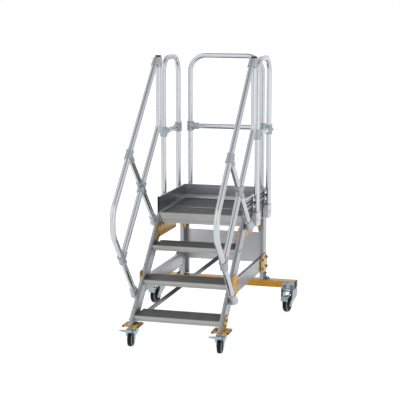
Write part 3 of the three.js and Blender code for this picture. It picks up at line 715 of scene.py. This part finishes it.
def draw_side_guard(bm):
    front, back = GUARD_Y
    tube(bm, [rail(front, GUARD_LOW_Z), rail(front, GUARD_TOP_Z),
              rail(back, GUARD_TOP_Z), rail(back, GUARD_LOW_Z)])


def draw_rear_guard(bm):
    tube(bm, [Vector((x, REAR_Y, z)) for x, z in (
        (-REAR_X, GUARD_LOW_Z), (-REAR_X, GUARD_TOP_Z), (REAR_X, GUARD_TOP_Z),
        (REAR_X, GUARD_LOW_Z))])


def draw_handrail(bm):
    along = LOWER_CLAMP - RAIL_FOOT
    low_corner = RAIL_FOOT + along * ((HANDRAIL_FRONT_Y - RAIL_FOOT.y) / along.y)
    corners = [RAIL_FOOT, low_corner, on_handrail(HANDRAIL_FRONT_Y), on_handrail(68)]
    tube(bm, corners, RAIL_BEND_R)


def draw_knee_rail(bm):
    corners = [on_knee_rail(LOWER_CLAMP.y + (TUBE_R + 3) / math.sqrt(2)), on_knee_rail(POST_Y),
               rail(POST_Y, POST_TOP_Z - 3)]
    tube(bm, corners, KNEE_BEND_R)


def draw_brace_tube(bm):
    foot = rail(BRACE_FOOT_Y, BRACE_FOOT_Y + BRACE_FOOT_RISE)
    sweep(bm, [on_handrail(UPPER_Y), foot], TUBE_R - 0.2)


def draw_side_mid_rail(bm):
    sweep(bm, [rail(GUARD_Y[0] + 20, MID_RAIL_Z),
               rail(GUARD_Y[1] - 20, MID_RAIL_Z)], TUBE_R)


def draw_rear_mid_rail(bm):
    sweep(bm, [Vector((s * (REAR_X - 20), REAR_Y, MID_RAIL_Z)) for s in (-1, 1)], TUBE_R)


def build_tubes():
    for name, draw in (("side_guard", draw_side_guard), ("handrail", draw_handrail),
                       ("knee_rail", draw_knee_rail), ("rail_brace", draw_brace_tube),
                       ("side_mid_rail", draw_side_mid_rail)):
        pair(name, draw, "tube", True)
    single("rear_guard", draw_rear_guard, "tube", True)
    single("rear_mid_rail", draw_rear_mid_rail, "tube", True)


# ---- castings on the rails
SLEEVE_R = 26.5
SLEEVE_HALF = 36
CLAMP_EAR_Z = (MID_RAIL_Z - 13, MID_RAIL_Z + 13)
TOP_CLAMP_Z = 1888
CASTING_X = OUTER_X + 0.4


def sleeve(bm, centre, axis, half=SLEEVE_HALF, radius=SLEEVE_R):
    """A collar round a tube with a raised bead at each rim."""
    a = Vector(axis).normalized()
    rod(bm, centre - a * half, centre + a * half, radius)
    for end in (-1, 1):
        rim = centre + a * (end * (half - 4))
        rod(bm, rim - a * 4, rim + a * 4, radius + 2)


def branch(bm, centre, toward, reach, radius=SLEEVE_R - 1.5):
    """A socket that leaves a sleeve towards another tube, wider where it starts."""
    a = Vector(toward).normalized()
    rod(bm, centre, centre + a * reach, radius + 1.5, radius)
    rod(bm, centre + a * (reach - 8), centre + a * reach, radius + 1.5)


def draw_side_clamp(y, direction):
    def draw(bm):
        centre = rail(y, MID_RAIL_Z)
        sleeve(bm, centre, Z)
        branch(bm, centre, Y * direction, 66)
        brick(bm, (RAIL_X + 8, RAIL_X + 30), (y - 11, y + 11), CLAMP_EAR_Z, 3)
    return draw


def draw_rear_clamp(bm):
    centre = Vector((REAR_X, REAR_Y, MID_RAIL_Z))
    sleeve(bm, centre, Z)
    branch(bm, centre, -X, 66)
    brick(bm, (REAR_X - 11, REAR_X + 11), (REAR_Y - 30, REAR_Y - 8), CLAMP_EAR_Z, 3)


def draw_upper_clamp(bm):
    centre = on_handrail(UPPER_Y)
    sleeve(bm, centre, UPHILL, 37)
    branch(bm, centre, ACROSS, 64)


def draw_middle_clamp(bm):
    centre = on_knee_rail(CROSS_Y)
    sleeve(bm, centre, UPHILL, 44)
    branch(bm, centre, ACROSS, 54)
    branch(bm, centre, -ACROSS, 68)


def draw_lower_clamp(bm):
    along = (LOWER_CLAMP - RAIL_FOOT).normalized()
    sleeve(bm, LOWER_CLAMP, along, 37)
    branch(bm, LOWER_CLAMP, UPHILL, 60)
    web = [LOWER_CLAMP + along * 34, LOWER_CLAMP + UPHILL * 52, LOWER_CLAMP]
    prism(bm, [p - X * 9 for p in web], X * 18, 2)


def draw_top_clamp(bm):
    post = rail(POST_Y, TOP_CLAMP_Z)
    rod(bm, post - Z * 36, post + Z * 37, SLEEVE_R + 0.5)
    rod(bm, on_handrail(28), on_handrail(74), SLEEVE_R - 1)
    rod(bm, on_handrail(28), on_handrail(36), SLEEVE_R + 1)
    web = [(32, 1886), (66, 1918), (112, 1923), (112, 1866)]
    side_plate(bm, web, RAIL_X - 13, RAIL_X + 13, 3)


def bell(bm, point, away, above, below, narrow, wide):
    """A flared foot round a tube's end."""
    a = Vector(away).normalized()
    lathe(bm, point - a * below, a, [
        (0, 0), (wide, 0), (wide, 10), (wide - 3, below + 4), (narrow + 1.5, below + above - 12),
        (narrow + 2.5, below + above - 9), (narrow + 2.5, below + above), (0, below + above)], 36)


def draw_rail_foot(bm):
    bell(bm, RAIL_FOOT, LOWER_CLAMP - RAIL_FOOT, 52, 24, 25, 34)
    trim(bm, (CASTING_X, 0, 0), X)


def draw_brace_foot(bm):
    foot = rail(BRACE_FOOT_Y, BRACE_FOOT_Y + BRACE_FOOT_RISE)
    bell(bm, foot, -ACROSS, 52, 24, 25, 34)
    trim(bm, (CASTING_X, 0, 0), X)


def draw_guard_socket(y):
    def draw(bm):
        brick(bm, (CASTING_X, RAIL_X + 23), (y - 30, y + 24), (715, 814), 3)
        brick(bm, (CASTING_X, RAIL_X + 20), (y - 72, y - 20), (716, 812), 3)
    return draw


def draw_rear_socket(bm):
    face = BACK_Y + 0.4
    brick(bm, (REAR_X - 28, REAR_X + 28), (face, REAR_Y + 27), (717, 812), 5)
    rod(bm, (REAR_X, REAR_Y, 806), (REAR_X, REAR_Y, 826), 26, 24)
    brick(bm, (REAR_X - 40, REAR_X + 40), (face, BACK_Y + 9), (735, 792), 3)


def build_castings():
    for end, y, direction in (("front", GUARD_Y[0], 1), ("back", GUARD_Y[1], -1)):
        cast_pair(f"mid_rail_clamp_{end}", draw_side_clamp(y, direction))
        cast_pair(f"guard_socket_{end}", draw_guard_socket(y), "pale_cast")
    cast_pair("rear_rail_clamp", draw_rear_clamp)
    cast_pair("rear_guard_socket", draw_rear_socket, "pale_cast")
    cast_pair("upper_clamp", draw_upper_clamp)
    cast_pair("middle_clamp", draw_middle_clamp)
    cast_pair("lower_clamp", draw_lower_clamp, stands=True)
    cast_pair("top_clamp", draw_top_clamp, stands=True)
    cast_pair("rail_foot", draw_rail_foot, "foot_cast")
    cast_pair("brace_foot", draw_brace_foot, "foot_cast")


def draw_casting_bolts(bm):
    for y in GUARD_Y:
        hex_bolt(bm, (RAIL_X + 30, y, MID_RAIL_Z), X, 10, 5, False)
        hex_bolt(bm, (RAIL_X + 20, y - 50, 763), X, 10, 4, False)
        socket_bolt(bm, (OUTER_X + 9, y - 72, 802), -Y, 6, 5)
    for z in (742, 787):
        hex_bolt(bm, (REAR_X, REAR_Y + 27, z), Y, 13, 6)
    hex_bolt(bm, (REAR_X, REAR_Y - 30, MID_RAIL_Z), -Y, 10, 5, False)
    for centre in (on_handrail(UPPER_Y), on_knee_rail(CROSS_Y)):
        socket_bolt(bm, centre + X * (SLEEVE_R - 1), X, 5, 4)
    socket_bolt(bm, LOWER_CLAMP + X * (SLEEVE_R - 1), X, 5, 4)
    socket_bolt(bm, (RAIL_X + SLEEVE_R - 1, POST_Y, TOP_CLAMP_Z), X, 5, 4)


def draw_tube_caps(bm):
    """The cap on the post, and plugs under the guard legs."""
    rod(bm, (RAIL_X, POST_Y, POST_TOP_Z - 12), (RAIL_X, POST_Y, POST_TOP_Z + 2), 22, 21)
    for x, y in (*((RAIL_X, y) for y in GUARD_Y), (REAR_X, REAR_Y)):
        rod(bm, (x, y, GUARD_LOW_Z - 3), (x, y, GUARD_LOW_Z + 2), 19)


def draw_toe_lugs(bm):
    """Clips that tie the guard legs to the toe boards."""
    for y in GUARD_Y:
        for z in (852, 902):
            brick(bm, (OUTER_X + GAP, RAIL_X - 14), (y - 28, y - 10), (z - 12, z + 12), 2)
            dome_bolt(bm, (RAIL_X - 18, y - 28, z), -Y, 9, 9)


# ---- gold plates
PLATE_T = 8
PLATE_INSIDE = (INNER_X - GAP - PLATE_T, INNER_X - GAP)
PLATE_OUTSIDE = (OUTER_X + GAP, OUTER_X + GAP + PLATE_T)


def draw_stile_gusset(bm):
    low, back, chamfer, high = 650, 350, 12, DECK_Z - 75 - GAP
    side_plate(bm, [(low - DECK_Z + chamfer, low), (back - chamfer, low), (back, low + chamfer),
                    (back, high), (high - DECK_Z + chamfer, high)], *PLATE_INSIDE, 1.2)


def draw_leg_gusset(bm):
    back, high = BACK_Y - PROFILE_T - GAP, FRAME_TOP_Z - PLANK_H - GAP
    side_plate(bm, [(560, 600), (back, 600), (back, high), (505, high), (505, 660)],
               *PLATE_INSIDE, 1.2)


def draw_stile_plate(bm):
    outline = [(-392, 345), (-318, 312), (-232, 322), (-226, 430), (-308, 470), (-392, 462)]
    side_plate(bm, outline, *PLATE_OUTSIDE, 1.5)


def draw_leg_plate(bm):
    outline = [(470, 318), (500, 300), (655, 300), (660, 310), (660, 405), (635, 432), (500, 432),
               (470, 410)]
    side_plate(bm, outline, *PLATE_OUTSIDE, 1.5)


FOOT_Z = (139, 147)
FOOT_Y = -602


def draw_front_foot(bm):
    x = FRONT.x
    brick(bm, (x - 58, x + 58), (FOOT_Y - 53, FOOT_Y + 53), (FOOT_Z[0] + 0.6, FOOT_Z[1]), 1.6)
    brick(bm, (x - 47, x + 47), (FOOT_Y - 53, FOOT_Y - 49), (FOOT_Z[0] - 6, FOOT_Z[0] + 3), 1.4)
    low = FOOT_Z[1] - 3
    flange = [(-650, low), (-550, low), (-500, low + 50), (-506, low + 86), (-572, low + 86)]
    side_plate(bm, flange, OUTER_X + GAP, OUTER_X + 6.3, 1.2)


# Black pads under the plate's side edges. Their black also paints the shade of the plate's
# downturned side flanges.
def draw_foot_edge_shade(bm):
    for s in (-1, 1):
        x = FRONT.x + s * 53
        brick(bm, (x - 6, x + 7), (FOOT_Y - 55, FOOT_Y + 55), (FOOT_Z[0] - 9, FOOT_Z[0] + 3), 1.5)


def draw_caster_mount(bm):
    x, y = FRONT.x, FRONT.y
    brick(bm, (x - 46, x + 46), (y - 34, y + 42), (FOOT_Z[0] - 4.5, FOOT_Z[0] + 0.5), 1.2)
    for dx, dy in ((-36, 30), (36, 30), (-36, -14), (36, -14)):
        hex_bolt(bm, (x + dx, y + dy, FOOT_Z[1]), Z, 10, 5)
        hex_bolt(bm, (x + dx, y + dy, FOOT_Z[0] - 4.5), -Z, 10, 5)


def draw_plate_bolts(bm):
    inside, outside = PLATE_INSIDE[0], PLATE_OUTSIDE[1]
    for y, z in ((-40, 730), (30, 730), (-100, 690), (-128, 664), (-75, 664), (130, 728),
                 (250, 728), (540, 750), (610, 750), (610, 690), (610, 630)):
        hex_bolt(bm, (inside, y, z), -X, 13, 6)
    for y, z in ((-365, 372), (-325, 340), (-258, 345), (-254, 410), (-310, 445), (-365, 440)):
        dome_bolt(bm, (outside, y, z), X, 6, 3)
    for y, z in ((500, 400), (630, 400), (500, 330), (630, 330)):
        hex_bolt(bm, (outside, y, z), X, 16, 10)
    for y, z in ((-594, 172), (-559, 202)):
        hex_bolt(bm, (OUTER_X + 6.3, y, z), X, 13, 8)


def draw_stile_bolts(bm):
    """Tread screws on the outer faces, and rivets on the front edge of the stile."""
    for i in (1, 2, 3):
        nose = i * RISE - DECK_Z
        for dy in (30, 84):
            dome_bolt(bm, (OUTER_X, nose + dy, i * RISE - 18), X, 6.5, 4)
    for z in (250, 455, 500):
        point = Vector((OUTER_X - 6, z - NOSE_RISE, z))
        dome_bolt(bm, point, -ACROSS, 5, 4)


def build_plates():
    for name, draw in (("stile_gusset", draw_stile_gusset), ("leg_gusset", draw_leg_gusset),
                       ("stile_plate", draw_stile_plate), ("leg_plate", draw_leg_plate),
                       ("front_foot", draw_front_foot)):
        pair(name, draw, "gold", True)
    pair("foot_edge_shade", draw_foot_edge_shade, "cap")
    pair("caster_mount", draw_caster_mount, "zinc")
    for name, draw in (("plate_bolts", draw_plate_bolts), ("stile_bolts", draw_stile_bolts),
                       ("casting_bolts", draw_casting_bolts)):
        pair(name, draw, "bolt")
    pair("tube_caps", draw_tube_caps, "cap")
    pair("toe_lugs", draw_toe_lugs, "chrome")


# ---- base
def draw_rear_leg(bm):
    low, high = BEAM_Z[1] + GAP, FRAME_LOW_Z - GAP
    front, back = LEG_FRONT_Y, BACK_Y
    lip_in, lip_front = INNER_X - 19, back - 23
    outline = [(INNER_X, front), (OUTER_X, front), (OUTER_X, front + 38),
               (OUTER_X - 1.5, front + 39), (OUTER_X - 1.5, front + 42), (OUTER_X, front + 43),
               (OUTER_X, back), (lip_in, back), (lip_in, lip_front), (lip_in + 3, lip_front),
               (lip_in + 3, lip_front + 6), (INNER_X, lip_front + 6)]
    prism(bm, [(x, y, low) for x, y in outline], (0, 0, high - low))


def draw_leg_clamp(bm):
    x, z = OUTER_X + GAP, BEAM_Z[1] + GAP
    angle = ((0, 0), (40, 0), (40, 4), (7, 4), (4, 7), (4, 62), (0, 62))
    prism(bm, [(x + a, 572, z + b) for a, b in angle], (0, 60, 0), 0.8)
    web = ((3, 3), (33, 3), (3, 54))
    prism(bm, [(x + a, 600, z + b) for a, b in web], (0, 4, 0), 0.8)


def draw_leg_clamp_bolts(bm):
    x, z = OUTER_X + 4.3, BEAM_Z[1] + 4.3
    for y in (586, 619):
        hex_bolt(bm, (x, y, z + 38), X, 16, 9)
    for y in (584, 619):
        hex_bolt(bm, (x + 22, y, z), Z, 16, 9)


def draw_stabiliser(bm):
    """An extrusion with two grooves along its front and back faces."""
    (front, back), (low, high) = BEAM_Y, BEAM_Z

    def face(y, inward):
        points = [(y, low + 1.5)]
        for z in (low + 14, low + 31):
            points += [(y, z - 3), (y + inward * 3, z - 2), (y + inward * 3, z + 2), (y, z + 3)]
        return points + [(y, high - 1.5)]
    outline = face(front, 1) + [(front + 1.5, high), (back - 1.5, high)] + face(back, -1)[::-1]
    outline += [(back - 1.5, low), (front + 1.5, low)]
    side_plate(bm, outline, -BEAM_HALF + 6, BEAM_HALF - 6, 0)


def draw_stabiliser_caps(bm):
    for s in (-1, 1):
        brick(bm, sorted((s * (BEAM_HALF - 7), s * BEAM_HALF)), (BEAM_Y[0] - 1, BEAM_Y[1] + 1),
              (BEAM_Z[0] - 1, BEAM_Z[1] + 1), 2.5)


PANEL_X = INNER_X - 19 - GAP
PANEL_Y = BACK_Y - 23


def draw_panel(bm):
    section = ((0, 354), (1.5, 353), (16, 353), (16, 355), (2, 355.5), (2, 579.5), (16, 580),
               (16, 582), (1.5, 582), (0, 581))
    side_plate(bm, [(PANEL_Y + d, z) for d, z in section], -PANEL_X, PANEL_X, 0)


def draw_panel_rivets(bm):
    for s in (-1, 1):
        for z in (375, 467, 560):
            dome_bolt(bm, (s * (PANEL_X - 9), PANEL_Y, z), -Y, 4, 2)


BRACE_PLANE = 566
BRACE_LOW = Vector((-288, 173 - BRACE_PLANE, 173))
BRACE_HIGH = Vector((288, 640 - BRACE_PLANE, 640))
BRACE_ALONG = (BRACE_HIGH - BRACE_LOW).normalized()
BRACE_ACROSS = (-ACROSS).cross(BRACE_ALONG)


def draw_diagonal(bm):
    section = ((-15, -4), (15, -4), (15, 4), (11.5, 4), (11.5, -0.5), (-15, -0.5))
    prism(bm, [BRACE_LOW + BRACE_ACROSS * a - ACROSS * b for a, b in section],
          BRACE_HIGH - BRACE_LOW, 0.5)


def draw_diagonal_bolts(bm):
    for end, sign in ((BRACE_LOW, 1), (BRACE_HIGH, -1)):
        point = end + BRACE_ALONG * sign * 16 - BRACE_ACROSS * 2 + ACROSS * 0.5
        hex_bolt(bm, point, -ACROSS, 13, 6)


def build_base():
    pair("rear_leg", draw_rear_leg, "leg", True)
    pair("leg_clamp", draw_leg_clamp, "zinc", True)
    pair("leg_clamp_bolts", draw_leg_clamp_bolts, "bolt")
    single("stabiliser_beam", draw_stabiliser, "gold", True)
    single("stabiliser_caps", draw_stabiliser_caps, "cap")
    single("rear_panel", draw_panel, "sheet", True)
    single("panel_rivets", draw_panel_rivets, "sheet")
    single("diagonal_brace", draw_diagonal, "cross", True)
    single("brace_bolts", draw_diagonal_bolts, "bolt")


# ---- casters
LEG_T = 3


def hull(points):
    """Convex outline of flat points, counter-clockwise."""
    points = sorted(set((round(a, 4), round(b, 4)) for a, b in points))

    def half(sequence):
        chain = []
        for p in sequence:
            while len(chain) > 1:
                (ax, ay), (bx, by) = chain[-2], chain[-1]
                if (bx - ax) * (p[1] - ay) - (by - ay) * (p[0] - ax) > 0:
                    break
                chain.pop()
            chain.append(p)
        return chain
    return half(points)[:-1] + half(points[::-1])[:-1]


def disc(centre, radius, count=20):
    return [(centre[0] + radius * math.cos(a), centre[1] + radius * math.sin(a))
            for a in circle(count)]


def leg_x(c, z):
    """Distance of a fork leg's outer face from the middle, drawn in below the crown."""
    low, high = c.bend
    share = min(1.0, max(0.0, (z - low) / (high - low)))
    share = share * share * (3 - 2 * share)
    return c.leg_half + (c.half - c.leg_half) * share


def draw_fork(bm, c):
    """Two bent legs under a crown, the ball race above it and the axle's nuts."""
    front, back = c.leg_y
    low, high = c.bend
    tip = min(high + 10, c.crown - 12)
    outline = hull(disc((-c.trail, c.wheel), c.boss) + disc((front + 9, c.crown - 5), 9)
                   + disc((back - 14, c.crown - 10), 14)
                   + [(front, c.wheel + 20), (back, tip), (-8, c.wheel - 14)])
    for s in (-1, 1):
        leg = bmesh.new()
        side_plate(leg, outline, 0, -s * LEG_T, 0)
        for i in range(11):
            bmesh.ops.bisect_plane(leg, geom=leg.verts[:] + leg.edges[:] + leg.faces[:], dist=1e-4,
                                   plane_co=(0, 0, low + (high - low) * i / 10), plane_no=Z)
        for v in leg.verts:
            v.co.x += s * leg_x(c, v.co.z)
        mesh = to_mesh("leg", leg)
        bm.from_mesh(mesh)
        bpy.data.meshes.remove(mesh)
    brick(bm, (-c.half, c.half), (c.crown_y[0], c.crown_y[1] - 2), (c.crown - 1, c.crown + 4), 1.8)
    race = c.top - 4.6 - c.crown
    lathe(bm, (0, 0, c.crown + 3), Z, [
        (0, 0), (33, 0), (35, 2), (35, 5), (31, 7), (29, race - 9), (31, race - 6),
        (31, race - 4), (24, race - 3), (0, race - 3)], 36)
    for s in (-1, 1):
        hex_bolt(bm, (s * (c.leg_half - 0.2), -c.trail, c.wheel), X * s, 14, 5)


def draw_fork_edges(bm, c):
    """The turned-in front edges of the legs and, on the small casters, of the crown. On the rear
    casters they take a darker copy of the zinc: painted shade.
    """
    front, depth = c.leg_y[0], c.edge_depth
    low, high = c.bend
    levels = [low + (high - low) * i / 8 for i in range(c.edge_start, 9)] + [c.crown + 4]
    reach = [c.edge_width * min(1.0, 0.3 + (z - low) / (c.crown - low)) for z in levels]
    for s in (-1, 1):
        outer = [(s * (leg_x(c, z) + 0.4), front - depth, z) for z in levels]
        inner = [(s * (leg_x(c, z) - r), front - depth, z) for z, r in zip(levels, reach)]
        prism(bm, outer + inner[::-1], (0, depth - GAP, 0), 0.5)
    if c is FRONT:
        brick(bm, (-c.half + 2, c.half - 2), (front, front + 3), (c.crown - 7.5, c.crown + 4), 0.8)


def wheel_frame(c):
    """Half the tyre's width, its radius and its centre."""
    return c.width / 2, c.wheel, Vector((0, -c.trail, c.wheel))


def draw_wheel(bm, c):
    half, r, centre = wheel_frame(c)
    groove = half * 0.34
    outer = [(r - 15, -half + 1), (r - 9, -half), (r - 4, -half + 1.5), (r - 1, -half + 5),
             (r, -half + 8), (r, -groove - 1.6), (r - 1.6, -groove - 1), (r - 1.6, -groove + 1),
             (r, -groove + 1.6)]
    ring_lathe(bm, centre, X, outer + [(a, -h) for a, h in reversed(outer)], 56)


def draw_rim_highlight(bm, c):
    """The pale ring beside the tread: a grey wheel core whose pale colour also paints the highlight
    on the tyre's shoulder.
    """
    half, r, centre = wheel_frame(c)
    ring_lathe(bm, centre, X, [(r - 7, -half - 0.6), (r - 4, -half - 0.4), (r - 2.6, -half + 2),
                               (r - 2.6, half - 2), (r - 4, half + 0.4), (r - 7, half + 0.6)], 56)


def draw_hub(bm, c):
    half, r, centre = wheel_frame(c)
    rim = [(r - 14.8, -half + 0.4), (r - 14.8, half - 0.4), (r - 19, half - 0.4), (r - 21, 4),
           (13, 4), (12, half + 1.2), (6.4, half + 1.2), (6.4, -half - 1.2), (12, -half - 1.2),
           (13, -4), (r - 21, -4), (r - 19, -half + 0.4)]
    ring_lathe(bm, centre, X, rim, 48)
    for i in range(6):
        turn = Matrix.Rotation(math.pi / 3 * i, 4, X)
        arm = [Vector((x, -1.6, z)) for x, z in (
            (-half + 3, 10), (half - 3, 10), (half - 5, r - 18), (-half + 5, r - 18))]
        prism(bm, [centre + turn @ p for p in arm], turn @ Vector((0, 3.2, 0)), 0.5)


def pedal_pin(bm, c, radius):
    reach = c.half - LEG_T - 1
    rod(bm, (-reach, *c.hinge), (reach, *c.hinge), radius, sides=20, round_off=0.8)


def draw_front_pedal(bm, c):
    """A flat tongue that rises a little and points out past one side of the fork."""
    y, z = c.hinge
    thick, slope = 3, 0.16
    outline = [(px, y - d) for px, d in (
        (-16, 0), (16, 0), (17, 34), (10, 44), (-40, 66), (-60, 66), (-67, 59), (-66, 50),
        (-22, 28), (-16, 22))]
    lips = (20, 19, 10, 5, 4, 4)

    def lifted(points, low):
        return [Vector((px, py, low + slope * (y - py))) for px, py in points]
    prism(bm, lifted(outline, z - thick / 2), Z * thick, 0.9)
    for i in range(5):
        p, q = lifted(outline[i + 2:i + 4], z - thick / 2 + 1)
        inward = Z.cross(q - p).normalized() * -2.2
        prism(bm, [p, q, q - Z * lips[i + 1], p - Z * lips[i]], inward, 0.4)
    pedal_pin(bm, c, 4.5)
    for s in (-1, 1):
        side_plate(bm, [(y + 5, z + 5), (y + 5, z - 6), (y - 22, z - 3), (y - 26, z + 2)],
                   s * 16 - 1.2, s * 16 + 1.2, 0.5)


def draw_rear_pedal(bm, c):
    """Two arms from the hinge to an apron in front of the wheel."""
    y, z = c.hinge
    arm = ((6, 5), (6, -7), (-2, -12), (-54, -40), (-61, -31), (-6, 5))
    apron = ((-52, -29), (-65, -66), (-68.5, -65), (-61, -30), (-58, -25))
    for s in (-1, 1):
        side_plate(bm, [(y + a, z + b) for a, b in arm], s * 27 - 2, s * 27 + 2, 0.8)
    side_plate(bm, [(y + a, z + b) for a, b in apron], -28, 28, 1.0)
    pedal_pin(bm, c, 6)


def draw_rear_bracket(bm):
    x, y, top = REAR.x, REAR.y, REAR.top
    front = BEAM_Y[0] - 4.3
    angle = [(front, top), (y + 56, top), (y + 56, top + 3.6), (front + 4, top + 3.6),
             (front + 4, BEAM_Z[1] - 1), (front, BEAM_Z[1] - 1)]
    side_plate(bm, angle, x - 48, x + 48, 0.9)
    brick(bm, (x - 52, x + 52), (y - 55, y + 55), (top - 4, top - 0.1), 1.0)


def draw_rear_bracket_bolts(bm):
    x, top = REAR.x, REAR.top
    front = BEAM_Y[0] - 4.3
    for dx in (-30, 30):
        hex_bolt(bm, (x + dx * 0.9, front, top + 14), -Y, 18, 11)
        for dy in (-38, 38):
            hex_bolt(bm, (x + dx * 1.27, REAR.y + dy, top - 4), -Z, 13, 6)


def build_casters():
    pair("rear_caster_bracket", draw_rear_bracket, "zinc", True)
    pair("rear_bracket_bolts", draw_rear_bracket_bolts, "bolt")
    # The rear casters' fork edges take the darker zinc: painted shade.
    for end, c, pedal, edges in (("front", FRONT, draw_front_pedal, "zinc"),
                                 ("rear", REAR, draw_rear_pedal, "dark_zinc")):
        for side, sign in SIDES:
            name = f"{end}_{side}"
            foot = Matrix.Translation((sign * c.x, c.y, 0))
            at = PLACE @ foot @ Matrix.Rotation(math.radians(c.turn), 4, Z)
            for part, body, draw, material, slot, stands in (
                    ("caster_fork", "fork", draw_fork, "zinc", "zinc", True),
                    ("caster_wheel", "wheel", draw_wheel, "tyre", "wheel", True),
                    ("wheel_hub", "wheel", draw_hub, "hub", "wheel", False),
                    ("wheel_rim_painted_highlight", "wheel", draw_rim_highlight, "rim", "wheel", False),
                    ("fork_edges", "fork", draw_fork_edges, edges, "zinc", False),
                    ("brake_pedal", "pedal", pedal, "zinc", "zinc", True)):
                full = f"{part}_{name}"
                piece(full, drawn(draw, c), material, f"{body}_{name}",
                      (full,) if stands else (), at=at)


# ---- stage, light and camera
LIGHT_TARGET = Vector((0, 0, 0.8))


def build_stage():
    """A floor that glows evenly, so the ladder stands on plain white."""
    bm = bmesh.new()
    bmesh.ops.create_grid(bm, x_segments=1, y_segments=1, size=60)
    floor = add_object("floor", to_mesh("floor", bm))
    paint = Nodes("floor_paint")
    paint.fix({"Base Color": (0.45, 0.45, 0.45, 1), "Roughness": 0.9, "Specular IOR Level": 0.0,
               "Emission Color": (1, 1, 1, 1), "Emission Strength": 0.8})
    floor.data.materials.append(paint.material)


def area_light(name, location, side, power):
    """A square light that faces the middle of the ladder."""
    data = bpy.data.lights.new(name, "AREA")
    data.shape = "RECTANGLE"
    data.size = data.size_y = side
    data.energy = power
    light = add_object(name, data)
    light.location = location
    light.rotation_euler = (LIGHT_TARGET - Vector(location)).to_track_quat("-Z", "Y").to_euler()


def build_light():
    world = bpy.data.worlds.new("studio")
    bpy.context.scene.world = world
    world.use_nodes = True
    tree = world.node_tree
    split = tree.nodes.new("ShaderNodeSeparateXYZ")
    tree.links.new(tree.nodes.new("ShaderNodeTexCoord").outputs["Generated"], split.inputs[0])
    ramp = tree.nodes.new("ShaderNodeValToRGB")
    stops = ramp.color_ramp.elements
    stops[0].position, stops[0].color = 0.0, (1.0, 1.0, 1.0, 1)
    stops[1].position, stops[1].color = 1.0, (0.30, 0.31, 0.33, 1)
    for position, level in ((0.62, 1.0), (0.9, 0.85)):
        stop = stops.new(position)
        stop.color = (level, level, level, 1)
    tree.links.new(split.outputs["Z"], ramp.inputs["Fac"])
    tree.links.new(ramp.outputs["Color"], tree.nodes["Background"].inputs["Color"])
    tree.nodes["Background"].inputs["Strength"].default_value = 1.0
    area_light("key", (-4.5, -4.5, 5.0), 9.0, 130)
    area_light("fill", (5.0, -3.0, 3.5), 8.0, 90)


def build_camera():
    data = bpy.data.cameras.new("camera")
    data.sensor_width = 36
    data.lens = 112.67
    camera = add_object("camera", data)
    camera.location = (2.3982, -8.3750, 2.3558)
    camera.rotation_euler = (math.radians(80.73), 0, math.radians(15.87))
    bpy.context.scene.camera = camera
    bpy.context.scene.view_settings.view_transform = "Standard"


build_camera()
build_profiles()
build_treads()
build_toe_boards()
build_tubes()
build_castings()
build_plates()
build_base()
build_casters()
build_stage()
build_light()
